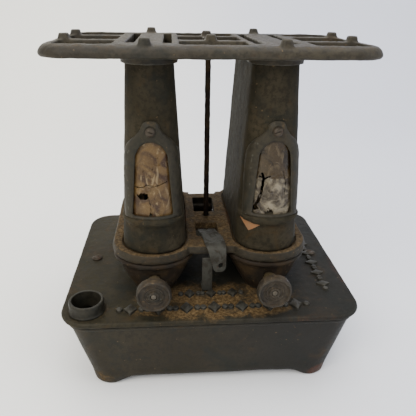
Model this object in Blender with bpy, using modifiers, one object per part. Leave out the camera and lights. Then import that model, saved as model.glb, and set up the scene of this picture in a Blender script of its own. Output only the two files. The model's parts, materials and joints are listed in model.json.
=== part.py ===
"""Two-burner flat-wick kerosene stove in cast iron, built piece by piece.

Frame: the origin lies on the table under the middle of the tank, +X is to the
right, +Y to the back and +Z up.  The wick knobs are on the front, at -Y.
The upper works (grate, chimneys and their base) tilt back on a rear hinge.
"""
import math

import bmesh
import bpy
from mathutils import Matrix, Vector

MM = 0.001
GAP = 0.3 * MM
ALONG_X = Matrix.Rotation(math.radians(90), 4, "Y")
TO_FRONT = Matrix.Rotation(math.radians(90), 4, "X")
SIDES = (("left", -1), ("right", 1))

# Tank and deck
DECK_HALF_X = 114 * MM
DECK_HALF_Y = 95.2 * MM
DECK_TOP = 63.5 * MM
DECK_THICK = 4.9 * MM
DECK_RADIUS = 22 * MM
GASKET_THICK = 0.6 * MM
TANK_TOP = DECK_TOP - DECK_THICK - 2 * GAP - GASKET_THICK
TANK_HALF_TOP = (109.3 * MM, 90.8 * MM)
TANK_HALF_LOW = (94.8 * MM, 88.0 * MM)
TANK_RADIUS = 16 * MM
TANK_WALL = 3 * MM
FOOT_HEIGHT = 6.3 * MM
FOOT_SHOULDER = (5 * MM, 11 * MM, 18 * MM)
NECK_AT = (-94.2 * MM, -77.1 * MM)
NECK_BORE = 10.6 * MM
NECK_RADIUS = 13.6 * MM
NECK_RISE = 9.7 * MM
DECK_SCREW_X = 97.3 * MM

# Burners
BURNER_X = 44.0 * MM
KNOB_X = 43.8 * MM
KNOB_Z = 82.9 * MM
KNOB_FACE_Y = -92.9 * MM
KNOB_RADIUS = 13 * MM
KNOB_THICK = 8.8 * MM
SHAFT_RADIUS = 2.0 * MM
SHAFT_HOLE = 2.3 * MM
SHAFT_END_Y = 38 * MM
SPUR_TIP = 4.6 * MM
SPUR_ROOT = 3.4 * MM
SPUR_Y = (-25 * MM, 25 * MM)
WICK_THICK = 3.0 * MM
WICK_WIDTH = 100 * MM
WICK_LOW = 21 * MM
WICK_TOP = 107 * MM
WICK_OFFSET = SPUR_TIP + GAP + WICK_THICK / 2
TUBE_WALL = 0.6 * MM
TUBE_LOW = 46 * MM
TUBE_TOP = 106 * MM
CUP_TOP = 96.6 * MM
CUP_HALF = (32.2 * MM, 71.8 * MM)
CUP_FOOT_HALF = (14.5 * MM, 58 * MM)
RIM_PROUD = 2.4 * MM

# Tilting upper works
HINGE_Y = 76 * MM
HINGE_Z = 80.5 * MM
HINGE_PIN_RADIUS = 2.0 * MM
BARREL_RADIUS = 4.5 * MM
HINGE_SCREW_X = 20 * MM
HINGE_SCREW_Y = 83.5 * MM
KEEPER_SCREW_AT = (-3 * MM, -50.5 * MM)
BASE_LOW = 97 * MM
BASE_TOP = 104.5 * MM
BASE_HALF = (33 * MM, 72.6 * MM)
SEAT_DEPTH = 2 * MM
CHIMNEY_X = 43.4 * MM
CHIMNEY_LOW = BASE_TOP - SEAT_DEPTH + GAP
CHIMNEY_TOP = 241.6 * MM
CHIMNEY_HALF_LOW = (24.6 * MM, 66.8 * MM)
CHIMNEY_HALF_TOP = (16.6 * MM, 56.8 * MM)
CHIMNEY_WALL = 2.8 * MM
GRATE_LOW = 242.3 * MM
GRATE_TOP = 251 * MM
GRATE_HALF = (114 * MM, 70.6 * MM)
GRATE_RADIUS = 22 * MM
LUG_RISE = 4 * MM
ROD_AT = (0.0, 2 * MM)
ROD_RADIUS = 2.4 * MM

# Windows, measured across from a chimney's middle and up from the table
SCREW_Z = 195.3 * MM
PANE_THICK = 0.6 * MM
FRAME_BACK = PANE_THICK + 2 * GAP
FRAME_FRONT = FRAME_BACK + 2.3 * MM

IRON = ((0.060, 0.057, 0.047), 0.62, 0.55)
RUST = ((0.150, 0.085, 0.045), 0.85, 0.10)
STEEL = ((0.190, 0.195, 0.190), 0.45, 0.85)
BRASS = ((0.330, 0.240, 0.110), 0.45, 0.85)
CORK = ((0.300, 0.210, 0.120), 0.90, 0.00)
COTTON = ((0.620, 0.560, 0.440), 0.95, 0.00)
MICA = ((0.360, 0.260, 0.160), 0.25, 0.00)


# ---------------------------------------------------------------- helpers

def clear_scene():
    for obj in list(bpy.data.objects):
        bpy.data.objects.remove(obj, do_unlink=True)


def new_collection(name):
    collection = bpy.data.collections.new(name)
    bpy.context.scene.collection.children.link(collection)
    return collection


def finish_material(name, finish):
    colour, roughness, metallic = finish
    material = bpy.data.materials.new(name + "_finish")
    material.use_nodes = True
    shader = material.node_tree.nodes["Principled BSDF"]
    shader.inputs["Base Color"].default_value = (*colour, 1)
    shader.inputs["Roughness"].default_value = roughness
    shader.inputs["Metallic"].default_value = metallic
    return material


def place(name, mesh, finish, at=(0, 0, 0), turn=None):
    """Put a mesh into the stove as a named part with its own material."""
    obj = bpy.data.objects.new(name, mesh)
    PARTS.objects.link(obj)
    obj.matrix_world = Matrix.Translation(at) @ (turn or Matrix.Identity(4))
    mesh.materials.append(finish_material(name, finish))
    mesh.shade_smooth()
    mesh.set_sharp_from_angle(angle=math.radians(32))
    return obj


def tool(name, mesh, at=(0, 0, 0), turn=None):
    """A cutter, or a lump to be joined on: never part of the stove itself."""
    obj = bpy.data.objects.new(name, mesh)
    CUTTERS.objects.link(obj)
    obj.matrix_world = Matrix.Translation(at) @ (turn or Matrix.Identity(4))
    obj.hide_render = True
    obj.display_type = "WIRE"
    return obj


def combine(obj, other, operation):
    modifier = obj.modifiers.new(other.name, "BOOLEAN")
    modifier.operation = operation
    modifier.object = other
    modifier.solver = "EXACT"


def cut(obj, cutter):
    combine(obj, cutter, "DIFFERENCE")


def join(obj, lump):
    combine(obj, lump, "UNION")


def shoulder(share):
    """A smooth step from 0 to 1, used for the shoulder of a foot."""
    return share * share * (3 - 2 * share)


def ring(half, radius, z, centre=(0, 0), arc=5, marks=(), rise=None):
    """A rounded rectangle, anticlockwise from above.

    marks adds points along the straight sides at those distances from each
    corner, and rise lifts a point by its distance from the corner.
    """
    half_x, half_y = half
    radius = min(radius, 0.994 * min(half_x, half_y))
    lift = rise or (lambda distance: 0.0)
    points = []
    for sign_x, sign_y, start in ((1, 1, 0), (-1, 1, 90), (-1, -1, 180), (1, -1, 270)):
        hub_x = centre[0] + sign_x * (half_x - radius)
        hub_y = centre[1] + sign_y * (half_y - radius)
        hub = Vector((hub_x, hub_y, z))
        turns = [math.radians(start + 90 * step / arc) for step in range(arc + 1)]
        arc_points = [hub + radius * Vector((math.cos(turn), math.sin(turn), 0)) for turn in turns]
        entry = Vector((-math.sin(turns[0]), math.cos(turns[0]), 0))
        leave = Vector((-math.sin(turns[-1]), math.cos(turns[-1]), 0))
        points += [arc_points[0] - entry * mark + Vector((0, 0, lift(mark))) for mark in reversed(marks)]
        points += [point + Vector((0, 0, lift(0.0))) for point in arc_points]
        points += [arc_points[-1] + leave * mark + Vector((0, 0, lift(mark))) for mark in marks]
    return points


def add_loft(bm, rings, closed=False):
    """Skin rings of equal length; closed joins the last ring to the first."""
    layers = [[bm.verts.new(point) for point in points] for points in rings]
    pairs = list(zip(layers, layers[1:]))
    if closed:
        pairs.append((layers[-1], layers[0]))
    for low, high in pairs:
        for here in range(len(low)):
            after = (here + 1) % len(low)
            bm.faces.new((low[here], low[after], high[after], high[here]))
    if not closed:
        bm.faces.new(list(reversed(layers[0])))
        bm.faces.new(layers[-1])


def loft_mesh(name, solids, closed=False):
    """One mesh of one or more lofted solids."""
    bm = bmesh.new()
    for rings in solids:
        add_loft(bm, rings, closed)
    bmesh.ops.recalc_face_normals(bm, faces=bm.faces)
    mesh = bpy.data.meshes.new(name)
    bm.to_mesh(mesh)
    bm.free()
    return mesh


def box_mesh(name, low, high):
    low, high = Vector(low), Vector(high)
    bm = bmesh.new()
    size = high - low
    scale = Matrix.Diagonal((size.x, size.y, size.z, 1))
    bmesh.ops.create_cube(bm, size=1, matrix=Matrix.Translation((low + high) / 2) @ scale)
    mesh = bpy.data.meshes.new(name)
    bm.to_mesh(mesh)
    bm.free()
    return mesh


def cylinder_mesh(name, radius, length, segments=20, top_radius=None):
    """A cylinder or cone about local Z, centred on the origin."""
    bm = bmesh.new()
    bmesh.ops.create_cone(bm, cap_ends=True, segments=segments, radius1=radius,
                          radius2=radius if top_radius is None else top_radius, depth=length)
    mesh = bpy.data.meshes.new(name)
    bm.to_mesh(mesh)
    bm.free()
    return mesh


def prism(half, radius, z_low, z_high, centre=(0, 0), arc=3):
    """An upright block of rounded-rectangle section, as rings for a loft."""
    return [ring(half, radius, z, centre, arc) for z in (z_low, z_high)]


def turned(name, profile, finish, at, turn=None, steps=24, hollow=False):
    """A turned piece about local Z; its profile runs down the outer side."""
    mesh = bpy.data.meshes.new(name)
    points = [(radius, 0, height) for radius, height in profile]
    edges = [(here, here + 1) for here in range(len(points) - 1)]
    if hollow:
        edges.append((len(points) - 1, 0))
    mesh.from_pydata(points, edges, [])
    obj = place(name, mesh, finish, at, turn)
    screw = obj.modifiers.new("turn", "SCREW")
    screw.steps = steps
    screw.render_steps = steps
    screw.use_merge_vertices = True
    screw.merge_threshold = 0.00005
    return obj


def outline_mesh(name, loops, thickness):
    """A flat plate about z = 0 from closed outlines; inner ones are holes."""
    curve = bpy.data.curves.new(name, "CURVE")
    curve.dimensions = "2D"
    curve.fill_mode = "BOTH"
    curve.extrude = thickness / 2
    for points in loops:
        spline = curve.splines.new("POLY")
        spline.points.add(len(points) - 1)
        spline.use_cyclic_u = True
        for target, (x, y) in zip(spline.points, points):
            target.co = (x, y, 0, 1)
    obj = bpy.data.objects.new(name, curve)
    CUTTERS.objects.link(obj)
    graph = bpy.context.evaluated_depsgraph_get()
    mesh = bpy.data.meshes.new_from_object(obj.evaluated_get(graph))
    bpy.data.objects.remove(obj, do_unlink=True)
    bm = bmesh.new()
    bm.from_mesh(mesh)
    bmesh.ops.remove_doubles(bm, verts=bm.verts, dist=0.00001)
    bmesh.ops.recalc_face_normals(bm, faces=bm.faces)
    bm.to_mesh(mesh)
    bm.free()
    mesh.materials.clear()
    return mesh


def circle(radius, centre=(0, 0), count=16, start=0.0):
    angles = [start + 2 * math.pi * step / count for step in range(count)]
    return [(centre[0] + radius * math.cos(a), centre[1] + radius * math.sin(a)) for a in angles]


def grown(half, amount):
    return (half[0] + amount, half[1] + amount)


# ---------------------------------------------------------------- tank and deck

def foot_rise(distance):
    """Height of the wall's lower edge: the corners reach down as feet."""
    return FOOT_HEIGHT * shoulder(min(distance / FOOT_SHOULDER[-1], 1.0))


def build_tank():
    span = TANK_TOP - FOOT_HEIGHT
    slope = [(top - low) / span for top, low in zip(TANK_HALF_TOP, TANK_HALF_LOW)]

    def wall(z, inset=0.0, radius=TANK_RADIUS):
        half = tuple(low + rate * (z - FOOT_HEIGHT) - inset for low, rate in zip(TANK_HALF_LOW, slope))
        return ring(half, radius - inset, z, marks=FOOT_SHOULDER)

    def skirt(inset, z):
        half = grown(TANK_HALF_LOW, -inset)
        return ring(half, TANK_RADIUS - inset, z, marks=FOOT_SHOULDER, rise=foot_rise)

    lip = 1.2 * MM
    floor = FOOT_HEIGHT + TANK_WALL
    rings = [
        wall(FOOT_HEIGHT + 0.4 * MM, inset=8 * MM),
        skirt(7.6 * MM, 0), skirt(1.6 * MM, 0), skirt(0.2 * MM, 1.6 * MM),
        wall(FOOT_HEIGHT + 4 * MM), wall(TANK_TOP - 3.4 * MM),
        wall(TANK_TOP - 2.6 * MM, -lip), wall(TANK_TOP - 0.4 * MM, -lip), wall(TANK_TOP, -lip + 0.5 * MM),
        wall(TANK_TOP, TANK_WALL), wall(floor + 4 * MM, TANK_WALL), wall(floor, TANK_WALL + 3 * MM),
    ]
    tank = place("oil_tank", loft_mesh("oil_tank", [rings]), IRON)
    boss_low, boss_radius = 44 * MM, 6.4 * MM
    for name, side in SIDES:
        middle = (side * DECK_SCREW_X, 0, (boss_low + TANK_TOP) / 2)
        length = TANK_TOP - boss_low
        join(tank, tool("boss_" + name, cylinder_mesh("boss", boss_radius, length, 16), middle))
        hole_at = (side * DECK_SCREW_X, 0, TANK_TOP)
        cut(tank, tool("boss_hole_" + name, cylinder_mesh("boss_hole", 2.3 * MM, 50 * MM, 10), hole_at))


def build_gasket():
    half = grown(TANK_HALF_TOP, 0.3 * MM)
    inner = grown(TANK_HALF_TOP, -TANK_WALL + 0.4 * MM)
    z = TANK_TOP + GAP
    rings = [
        ring(half, TANK_RADIUS, z), ring(half, TANK_RADIUS, z + GASKET_THICK),
        ring(inner, TANK_RADIUS - TANK_WALL, z + GASKET_THICK), ring(inner, TANK_RADIUS - TANK_WALL, z),
    ]
    place("deck_gasket", loft_mesh("deck_gasket", [rings], closed=True), CORK)


def build_deck():
    half = (DECK_HALF_X, DECK_HALF_Y)
    low = DECK_TOP - DECK_THICK
    steps = ((2.2, 0), (0.5, 1.2), (0, 2.6), (0.6, 4.0), (2.6, 4.9))
    rings = [ring(grown(half, -inset * MM), DECK_RADIUS - inset * MM, low + up * MM, arc=7)
             for inset, up in steps]
    deck = place("tank_deck", loft_mesh("tank_deck", [rings]), IRON)
    tall = 12 * MM

    def drill(name, radius, at, segments=14):
        cut(deck, tool(name, cylinder_mesh(name, radius, tall, segments), (*at, DECK_TOP)))

    drill("neck_hole", NECK_RADIUS - 1.2 * MM, NECK_AT, 28)
    for name, side in SIDES:
        drill("deck_screw_hole_" + name, 2.2 * MM, (side * DECK_SCREW_X, 0))
        drill("hinge_screw_hole_" + name, 1.8 * MM, (side * HINGE_SCREW_X, HINGE_SCREW_Y), 10)
        slot_half = (WICK_THICK / 2 + TUBE_WALL + 0.8 * MM, WICK_WIDTH / 2 + TUBE_WALL + 1.2 * MM)
        slot = prism(slot_half, 0.6 * MM, DECK_TOP - tall, DECK_TOP + tall, (wick_x(side), 0), 2)
        cut(deck, tool("wick_slot_" + name, loft_mesh("wick_slot", [slot])))
    drill("keeper_screw_hole", 1.5 * MM, KEEPER_SCREW_AT, 10)


def build_neck():
    rise = NECK_RISE
    low = -DECK_THICK + GAP
    profile = [(radius * MM, height) for radius, height in (
        (11.4, rise), (12.7, rise - 0.5 * MM), (13.1, rise - 1.6 * MM), (13.6, 0.6 * MM), (13.6, GAP),
        (12.1, GAP), (12.1, low), (10.6, low), (10.6, rise - 0.8 * MM))]
    turned("filler_neck", profile, IRON, (*NECK_AT, DECK_TOP), steps=28, hollow=True)


def slotted_screw(name, at, head, head_rise, shank, length, turn=None, slot_turn=0.0, finish=STEEL):
    """A cheese-head screw about local Z: its head's underside is at local z = 0."""
    profile = [(0, head_rise), (head * 0.7, head_rise * 0.93), (head, head_rise * 0.5), (head, 0),
               (shank, 0), (shank, -length), (0, -length)]
    screw = turned(name, profile, finish, at, turn, steps=12)
    half_slot = head * 0.13
    slot = box_mesh("slot", (-2 * head, -half_slot, head_rise * 0.45), (2 * head, half_slot, 2 * head_rise))
    base = Matrix.Translation(at) @ (turn or Matrix.Identity(4))
    blade = tool(name + "_slot", slot)
    blade.matrix_world = base @ Matrix.Rotation(slot_turn, 4, "Z")
    cut(screw, blade)
    return screw


def build_deck_screws():
    for name, side in SIDES:
        at = (side * DECK_SCREW_X, 0, DECK_TOP + GAP)
        slotted_screw("deck_screw_" + name, at, 4.5 * MM, 1.8 * MM, 1.8 * MM, 19 * MM, slot_turn=0.5 * side)


# ---------------------------------------------------------------- burners

def wick_x(side):
    """Both wicks stand on the same side of their shafts, so both knobs turn alike."""
    return side * KNOB_X - WICK_OFFSET


def build_cup(name, side):
    centre = (side * BURNER_X, 0)
    foot = DECK_TOP + GAP

    def level(half, z, radius=None):
        return ring(half, half[0] if radius is None else radius * MM, z, centre, arc=5)

    def between(share, inset):
        bowl = grown(CUP_HALF, -RIM_PROUD)
        return tuple(low + (top - low) * share - inset for low, top in zip(CUP_FOOT_HALF, bowl))

    wall = 2.8 * MM
    rim_low = CUP_TOP - 4.6 * MM
    rings = [
        level(CUP_FOOT_HALF, foot, 8), level(between(0.5, 0), (foot + rim_low) / 2, 16),
        level(between(0.93, 0), rim_low - 1.2 * MM),
        level(grown(CUP_HALF, -0.7 * MM), rim_low), level(CUP_HALF, rim_low + 1.4 * MM),
        level(CUP_HALF, CUP_TOP - 1.2 * MM), level(grown(CUP_HALF, -1.4 * MM), CUP_TOP),
        level(grown(CUP_HALF, -4.2 * MM), CUP_TOP), level(between(0.93, wall), rim_low - 1.2 * MM),
        level(between(0.5, wall), (foot + rim_low) / 2, 13), level(grown(CUP_FOOT_HALF, -wall), foot, 6),
    ]
    cup = place("burner_cup_" + name, loft_mesh("burner_cup", [rings], closed=True), IRON)
    hole_at = (side * KNOB_X, -64 * MM, KNOB_Z)
    hole = cylinder_mesh("gland_hole", 3.7 * MM, 26 * MM, 18)
    cut(cup, tool("gland_hole_" + name, hole, hole_at, TO_FRONT))


def build_wick(name, side):
    x = wick_x(side)
    half_x, half_y = WICK_THICK / 2, WICK_WIDTH / 2
    inner = (half_x + GAP, half_y + 0.5 * MM)
    outer = grown(inner, TUBE_WALL)
    corner = 1.2 * MM
    rings = [ring(half, corner, z, (x, 0), 3) for half, z in (
        (outer, TUBE_LOW), (outer, TUBE_TOP), (inner, TUBE_TOP), (inner, TUBE_LOW))]
    tube = place("wick_tube_" + name, loft_mesh("wick_tube", [rings], closed=True), BRASS)
    tall, wide = 5.8 * MM, 1.9 * MM
    for end, y in zip("ab", SPUR_Y):
        low = (x + half_x + 0.1 * MM, y - wide, KNOB_Z - tall)
        high = (x + half_x + 2 * MM, y + wide, KNOB_Z + tall)
        cut(tube, tool("spur_window_" + name + end, box_mesh("spur_window", low, high)))
    wick_low, wick_high = (x - half_x, -half_y, WICK_LOW), (x + half_x, half_y, WICK_TOP)
    place("wick_" + name, box_mesh("wick", wick_low, wick_high), COTTON)


def build_gland(name, side):
    """A turned bush that guides the wick shaft through the cup's front."""
    profile = [(radius * MM, height * MM) for radius, height in (
        (4.4, 12.6), (5.4, 11.9), (5.4, 7.6), (4.6, 6.6), (3.4, 6.6), (3.4, -3), (2.4, -3), (2.4, 12.6))]
    at = (side * KNOB_X, -64 * MM, KNOB_Z)
    turned("shaft_gland_" + name, profile, BRASS, at, TO_FRONT, steps=14, hollow=True)


def build_knob(name, side):
    depth = KNOB_THICK / MM
    profile = [(radius * MM, height * MM) for radius, height in (
        (3.2, depth - 0.7), (4.1, depth - 1.2), (4.5, depth - 2.3), (6.5, depth - 2.3), (7, depth - 1.7),
        (7.5, depth - 2.3), (10, depth - 2.2), (10.9, depth - 0.4), (11.7, depth), (12.6, depth - 0.8),
        (KNOB_RADIUS / MM, depth - 2.4), (KNOB_RADIUS / MM, 1.8), (12.1, 0.4), (11.1, 0),
        (2.3, 0), (2.3, depth - 0.7))]
    at = (side * KNOB_X, KNOB_FACE_Y + KNOB_THICK, KNOB_Z)
    turned("wick_knob_" + name, profile, IRON, at, TO_FRONT, steps=24, hollow=True)


def build_shaft(name, side):
    front = -KNOB_FACE_Y - 0.2 * MM
    profile = [(0, front), (1.1 * MM, front - 0.3 * MM), (SHAFT_RADIUS, front - 1.0 * MM),
               (SHAFT_RADIUS, -SHAFT_END_Y), (0, -SHAFT_END_Y)]
    turned("wick_shaft_" + name, profile, STEEL, (side * KNOB_X, 0, KNOB_Z), TO_FRONT, steps=12)
    teeth = 8
    tooth = []
    for index in range(teeth):
        for share, radius in ((-0.34, SPUR_ROOT), (-0.12, SPUR_TIP), (0.12, SPUR_TIP), (0.34, SPUR_ROOT)):
            angle = 2 * math.pi * (index + share) / teeth
            tooth.append((radius * math.cos(angle), radius * math.sin(angle)))
    for end, y in zip(("front", "rear"), SPUR_Y):
        mesh = outline_mesh("spur_wheel", [tooth, circle(SHAFT_HOLE, count=10)], 2.4 * MM)
        place(f"spur_wheel_{name}_{end}", mesh, BRASS, (side * KNOB_X, y, KNOB_Z), TO_FRONT)


def build_bearing(name, side):
    """The rear bearing block, soldered to the wick tube."""
    x = side * KNOB_X
    low = (wick_x(side) + WICK_THICK / 2 + 2 * GAP + TUBE_WALL, 31 * MM, KNOB_Z - 5 * MM)
    high = (x + 4.4 * MM, 34 * MM, KNOB_Z + 5 * MM)
    block = place("shaft_bearing_" + name, box_mesh("shaft_bearing", low, high), BRASS)
    hole = cylinder_mesh("bearing_hole", SHAFT_HOLE, 12 * MM, 14)
    cut(block, tool("bearing_hole_" + name, hole, (x, 32 * MM, KNOB_Z), TO_FRONT))


# ---------------------------------------------------------------- rear hinge and front keeper

def build_hinge():
    deck = DECK_TOP + GAP
    foot_high = deck + 2.6 * MM
    foot = box_mesh("bracket", (-26 * MM, 73 * MM, deck), (26 * MM, 88.5 * MM, foot_high))
    bracket = place("hinge_bracket", foot, IRON)
    web = box_mesh("web", (-24 * MM, 74 * MM, deck + 1 * MM), (24 * MM, 78 * MM, HINGE_Z - 6 * MM))
    join(bracket, tool("bracket_web", web))
    neck = box_mesh("neck", (-12 * MM, 74.2 * MM, deck + 2 * MM), (12 * MM, 77.8 * MM, HINGE_Z))
    join(bracket, tool("bracket_neck", neck))
    centre = (0, HINGE_Y, HINGE_Z)
    barrel = cylinder_mesh("barrel", BARREL_RADIUS, 25 * MM, 20)
    join(bracket, tool("bracket_barrel", barrel, centre, ALONG_X))
    bore = cylinder_mesh("bore", HINGE_PIN_RADIUS + GAP, 60 * MM, 16)
    cut(bracket, tool("bracket_bore", bore, centre, ALONG_X))
    head, end, pin = 3.4 * MM, 19.2 * MM, HINGE_PIN_RADIUS
    profile = [(0, end + 1.6 * MM), (head * 0.75, end + 1.4 * MM), (head, end + 0.6 * MM), (head, end),
               (pin, end), (pin, -end), (head, -end), (head, -end - 0.6 * MM),
               (head * 0.75, -end - 1.4 * MM), (0, -end - 1.6 * MM)]
    turned("hinge_pin", profile, STEEL, centre, ALONG_X, steps=16)
    for name, side in SIDES:
        at = (side * HINGE_SCREW_X, HINGE_SCREW_Y)
        hole = cylinder_mesh("bracket_hole", 1.8 * MM, 12 * MM, 10)
        cut(bracket, tool("bracket_hole_" + name, hole, (*at, deck)))
        slotted_screw("hinge_screw_" + name, (*at, foot_high + GAP), 3.3 * MM, 1.6 * MM, 1.4 * MM, 8.6 * MM,
                      slot_turn=0.8 * side)


def build_keeper():
    """A bent strap on the deck that the front latch drops over."""
    deck = DECK_TOP + GAP
    sheet = 1.5 * MM
    front = -57.4 * MM
    path = [(-44 * MM, deck), (front, deck), (front, 94 * MM), (front + sheet, 94 * MM),
            (front + sheet, deck + sheet), (-44 * MM, deck + sheet)]
    mesh = outline_mesh("latch_keeper", [path], 8 * MM)
    upright = Matrix(((0, 0, 1, 0), (1, 0, 0, 0), (0, 1, 0, 0), (0, 0, 0, 1)))
    keeper = place("latch_keeper", mesh, STEEL, (-3 * MM, 0, 0), upright)
    hole = cylinder_mesh("keeper_hole", 1.5 * MM, 10 * MM, 10)
    cut(keeper, tool("keeper_hole", hole, (*KEEPER_SCREW_AT, deck)))
    on_strap = (*KEEPER_SCREW_AT, deck + sheet + GAP)
    slotted_screw("keeper_screw", on_strap, 2.8 * MM, 1.4 * MM, 1.2 * MM, 7 * MM)


# ---------------------------------------------------------------- chimney base, chimneys

def oval(half, z, centre, arc=6):
    return ring(half, half[0], z, centre, arc)


def lug_outline():
    """Side view of a hinge lug, in (y, z): from the base's rear edge down to the pin."""
    lug = [(50, 98.2), (50, 103.2), (59, 103.0), (66, 99.5), (73, 91.5), (79.6, 84.0)]
    lug = [(y * MM, z * MM) for y, z in lug]
    for step in range(9):
        angle = math.radians(30 - 25 * step)
        lug.append((HINGE_Y + BARREL_RADIUS * math.cos(angle), HINGE_Z + BARREL_RADIUS * math.sin(angle)))
    lug += [(70.5 * MM, 87 * MM), (63.5 * MM, 96.4 * MM), (61.5 * MM, 98.2 * MM)]
    return lug


def build_chimney_base():
    steps = ((1.5, 0), (0.2, 1.3), (0, 3.6), (0.5, 6.2), (1.8, 7.5))
    upright = Matrix(((0, 0, 1, 0), (1, 0, 0, 0), (0, 1, 0, 0), (0, 0, 0, 1)))

    def slab(centre):
        return [oval(grown(BASE_HALF, -inset * MM), BASE_LOW + up * MM, centre) for inset, up in steps]

    base = place("chimney_base", loft_mesh("chimney_base", [slab((-BURNER_X, 0))]), IRON)
    join(base, tool("base_right", loft_mesh("base_right", [slab((BURNER_X, 0))])))
    bridge_half, bridge_centre = (24 * MM, 56 * MM), (0, -2 * MM)
    bridge = []
    for inset, up in steps:
        z = BASE_LOW + (0.2 + up * 0.94) * MM
        bridge.append(ring(grown(bridge_half, -inset * MM), 3 * MM, z, bridge_centre, 3))
    join(base, tool("bridge", loft_mesh("bridge", [bridge])))
    lug_width, lug_x = 5 * MM, 15.4 * MM
    for name, side in SIDES:
        lug = outline_mesh("hinge_lug", [lug_outline()], lug_width)
        join(base, tool("hinge_lug_" + name, lug, (side * lug_x, 0, 0), upright))
    openings = []
    for _, side in SIDES:
        centre = (side * CHIMNEY_X, 0)
        flue = (20.4 * MM, 61 * MM)
        seat = grown(CHIMNEY_HALF_LOW, 0.5 * MM)
        openings.append([oval(flue, BASE_LOW - 5 * MM, centre), oval(flue, BASE_TOP - SEAT_DEPTH, centre),
                         oval(seat, BASE_TOP - SEAT_DEPTH, centre), oval(seat, BASE_TOP + 5 * MM, centre)])
    rear_slot = ((9 * MM, 16 * MM), (-1 * MM, 25 * MM))
    front_slot = ((9 * MM, 12 * MM), (-1.5 * MM, -27 * MM))
    for half, centre in (rear_slot, front_slot):
        openings.append(prism(half, 2 * MM, BASE_LOW - 5 * MM, BASE_TOP + 5 * MM, centre))
    cut(base, tool("base_openings", loft_mesh("base_openings", openings)))
    cut(base, tool("rod_hole", cylinder_mesh("rod_hole", ROD_RADIUS + GAP, 30 * MM, 16), (*ROD_AT, BASE_TOP)))
    bore = cylinder_mesh("lug_bore", HINGE_PIN_RADIUS + GAP, 60 * MM, 16)
    cut(base, tool("lug_bore", bore, (0, HINGE_Y, HINGE_Z), ALONG_X))


def chimney_half(z, inset=0.0):
    share = (z - CHIMNEY_LOW) / (CHIMNEY_TOP - CHIMNEY_LOW)
    return tuple(low + (top - low) * share - inset for low, top in zip(CHIMNEY_HALF_LOW, CHIMNEY_HALF_TOP))


def on_front(side, across, z, proud):
    """A point on a chimney's round front: across from its middle, at height z."""
    radius, half_y = chimney_half(z)
    reach = radius + proud
    across = max(-0.995 * reach, min(0.995 * reach, across))
    return Vector((side * CHIMNEY_X + across, -half_y + radius - math.sqrt(reach ** 2 - across ** 2), z))


def opening_edge(grow):
    """Half of the window opening, bottom to top, as (across, height)."""
    foot, spring, crown = 134.5 * MM, 174 * MM, 187.5 * MM
    points = [(14.2 * MM + grow, foot - grow), (12.6 * MM + grow, 154 * MM)]
    for step in range(6):
        angle = math.radians(90 * step / 5)
        rise = (crown - spring + grow) * math.sin(angle)
        points.append(((11.2 * MM + grow) * math.cos(angle), spring + rise))
    return points


def sill_ring(side, across):
    """Cross-section of the window sill: a pocket lip that holds the frame's foot."""
    section = ((-0.8, 126.2), (3.0, 126.2), (5.2, 127.8), (5.6, 132.4), (4.6, 133.4), (3.9, 132.8),
               (3.8, 131.1), (-0.8, 131.1))
    spread = 1 / (24 * MM)
    return [on_front(side, across * (1 + proud * MM * spread), z * MM, proud * MM) for proud, z in section]


def build_chimney(name, side):
    centre = (side * CHIMNEY_X, 0)
    rings = [
        oval(chimney_half(CHIMNEY_LOW), CHIMNEY_LOW, centre),
        oval(chimney_half(CHIMNEY_TOP), CHIMNEY_TOP, centre),
        oval(chimney_half(CHIMNEY_TOP, CHIMNEY_WALL), CHIMNEY_TOP, centre),
        oval(chimney_half(CHIMNEY_LOW, CHIMNEY_WALL), CHIMNEY_LOW, centre),
    ]
    chimney = place("chimney_" + name, loft_mesh("chimney", [rings], closed=True), IRON)
    stations = [22 * MM * share for share in (-1, -0.8, -0.55, -0.28, 0, 0.28, 0.55, 0.8, 1)]
    sill = loft_mesh("sill", [[sill_ring(side, across) for across in stations]])
    join(chimney, tool("sill_" + name, sill))
    half_edge = opening_edge(-1.0 * MM)
    edge = half_edge + [(-across, z) for across, z in reversed(half_edge[:-1])]
    hole = outline_mesh("window_hole", [edge], 40 * MM)
    cut(chimney, tool("window_hole_" + name, hole, (side * CHIMNEY_X, -62 * MM, 0), TO_FRONT))
    screw_hole = cylinder_mesh("window_screw_hole", 1.7 * MM, 24 * MM, 12)
    screw_at = (side * CHIMNEY_X, -60 * MM, SCREW_Z)
    cut(chimney, tool("chimney_screw_hole_" + name, screw_hole, screw_at, TO_FRONT))


def frame_stations():
    """Matching (outer, inner) edge points round the arched window frame."""
    outer = ((21.0, 131.5), (20.8, 152), (20.0, 172), (18.9, 180.5),
             (15.6, 187), (9.6, 192.5), (6.2, 199.2), (0, 202.4))
    inner = opening_edge(0.0)
    half = [((across * MM, z * MM), edge) for (across, z), edge in zip(outer, inner)]
    left = [((-a, z), (-b, w)) for (a, z), (b, w) in reversed(half[:-1])]
    shares = (-0.88, -0.62, -0.32, 0, 0.32, 0.62, 0.88)
    foot = [((share * 21 * MM, 131.5 * MM), (share * 14.2 * MM, 134.5 * MM)) for share in shares]
    return half + left + foot


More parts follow.
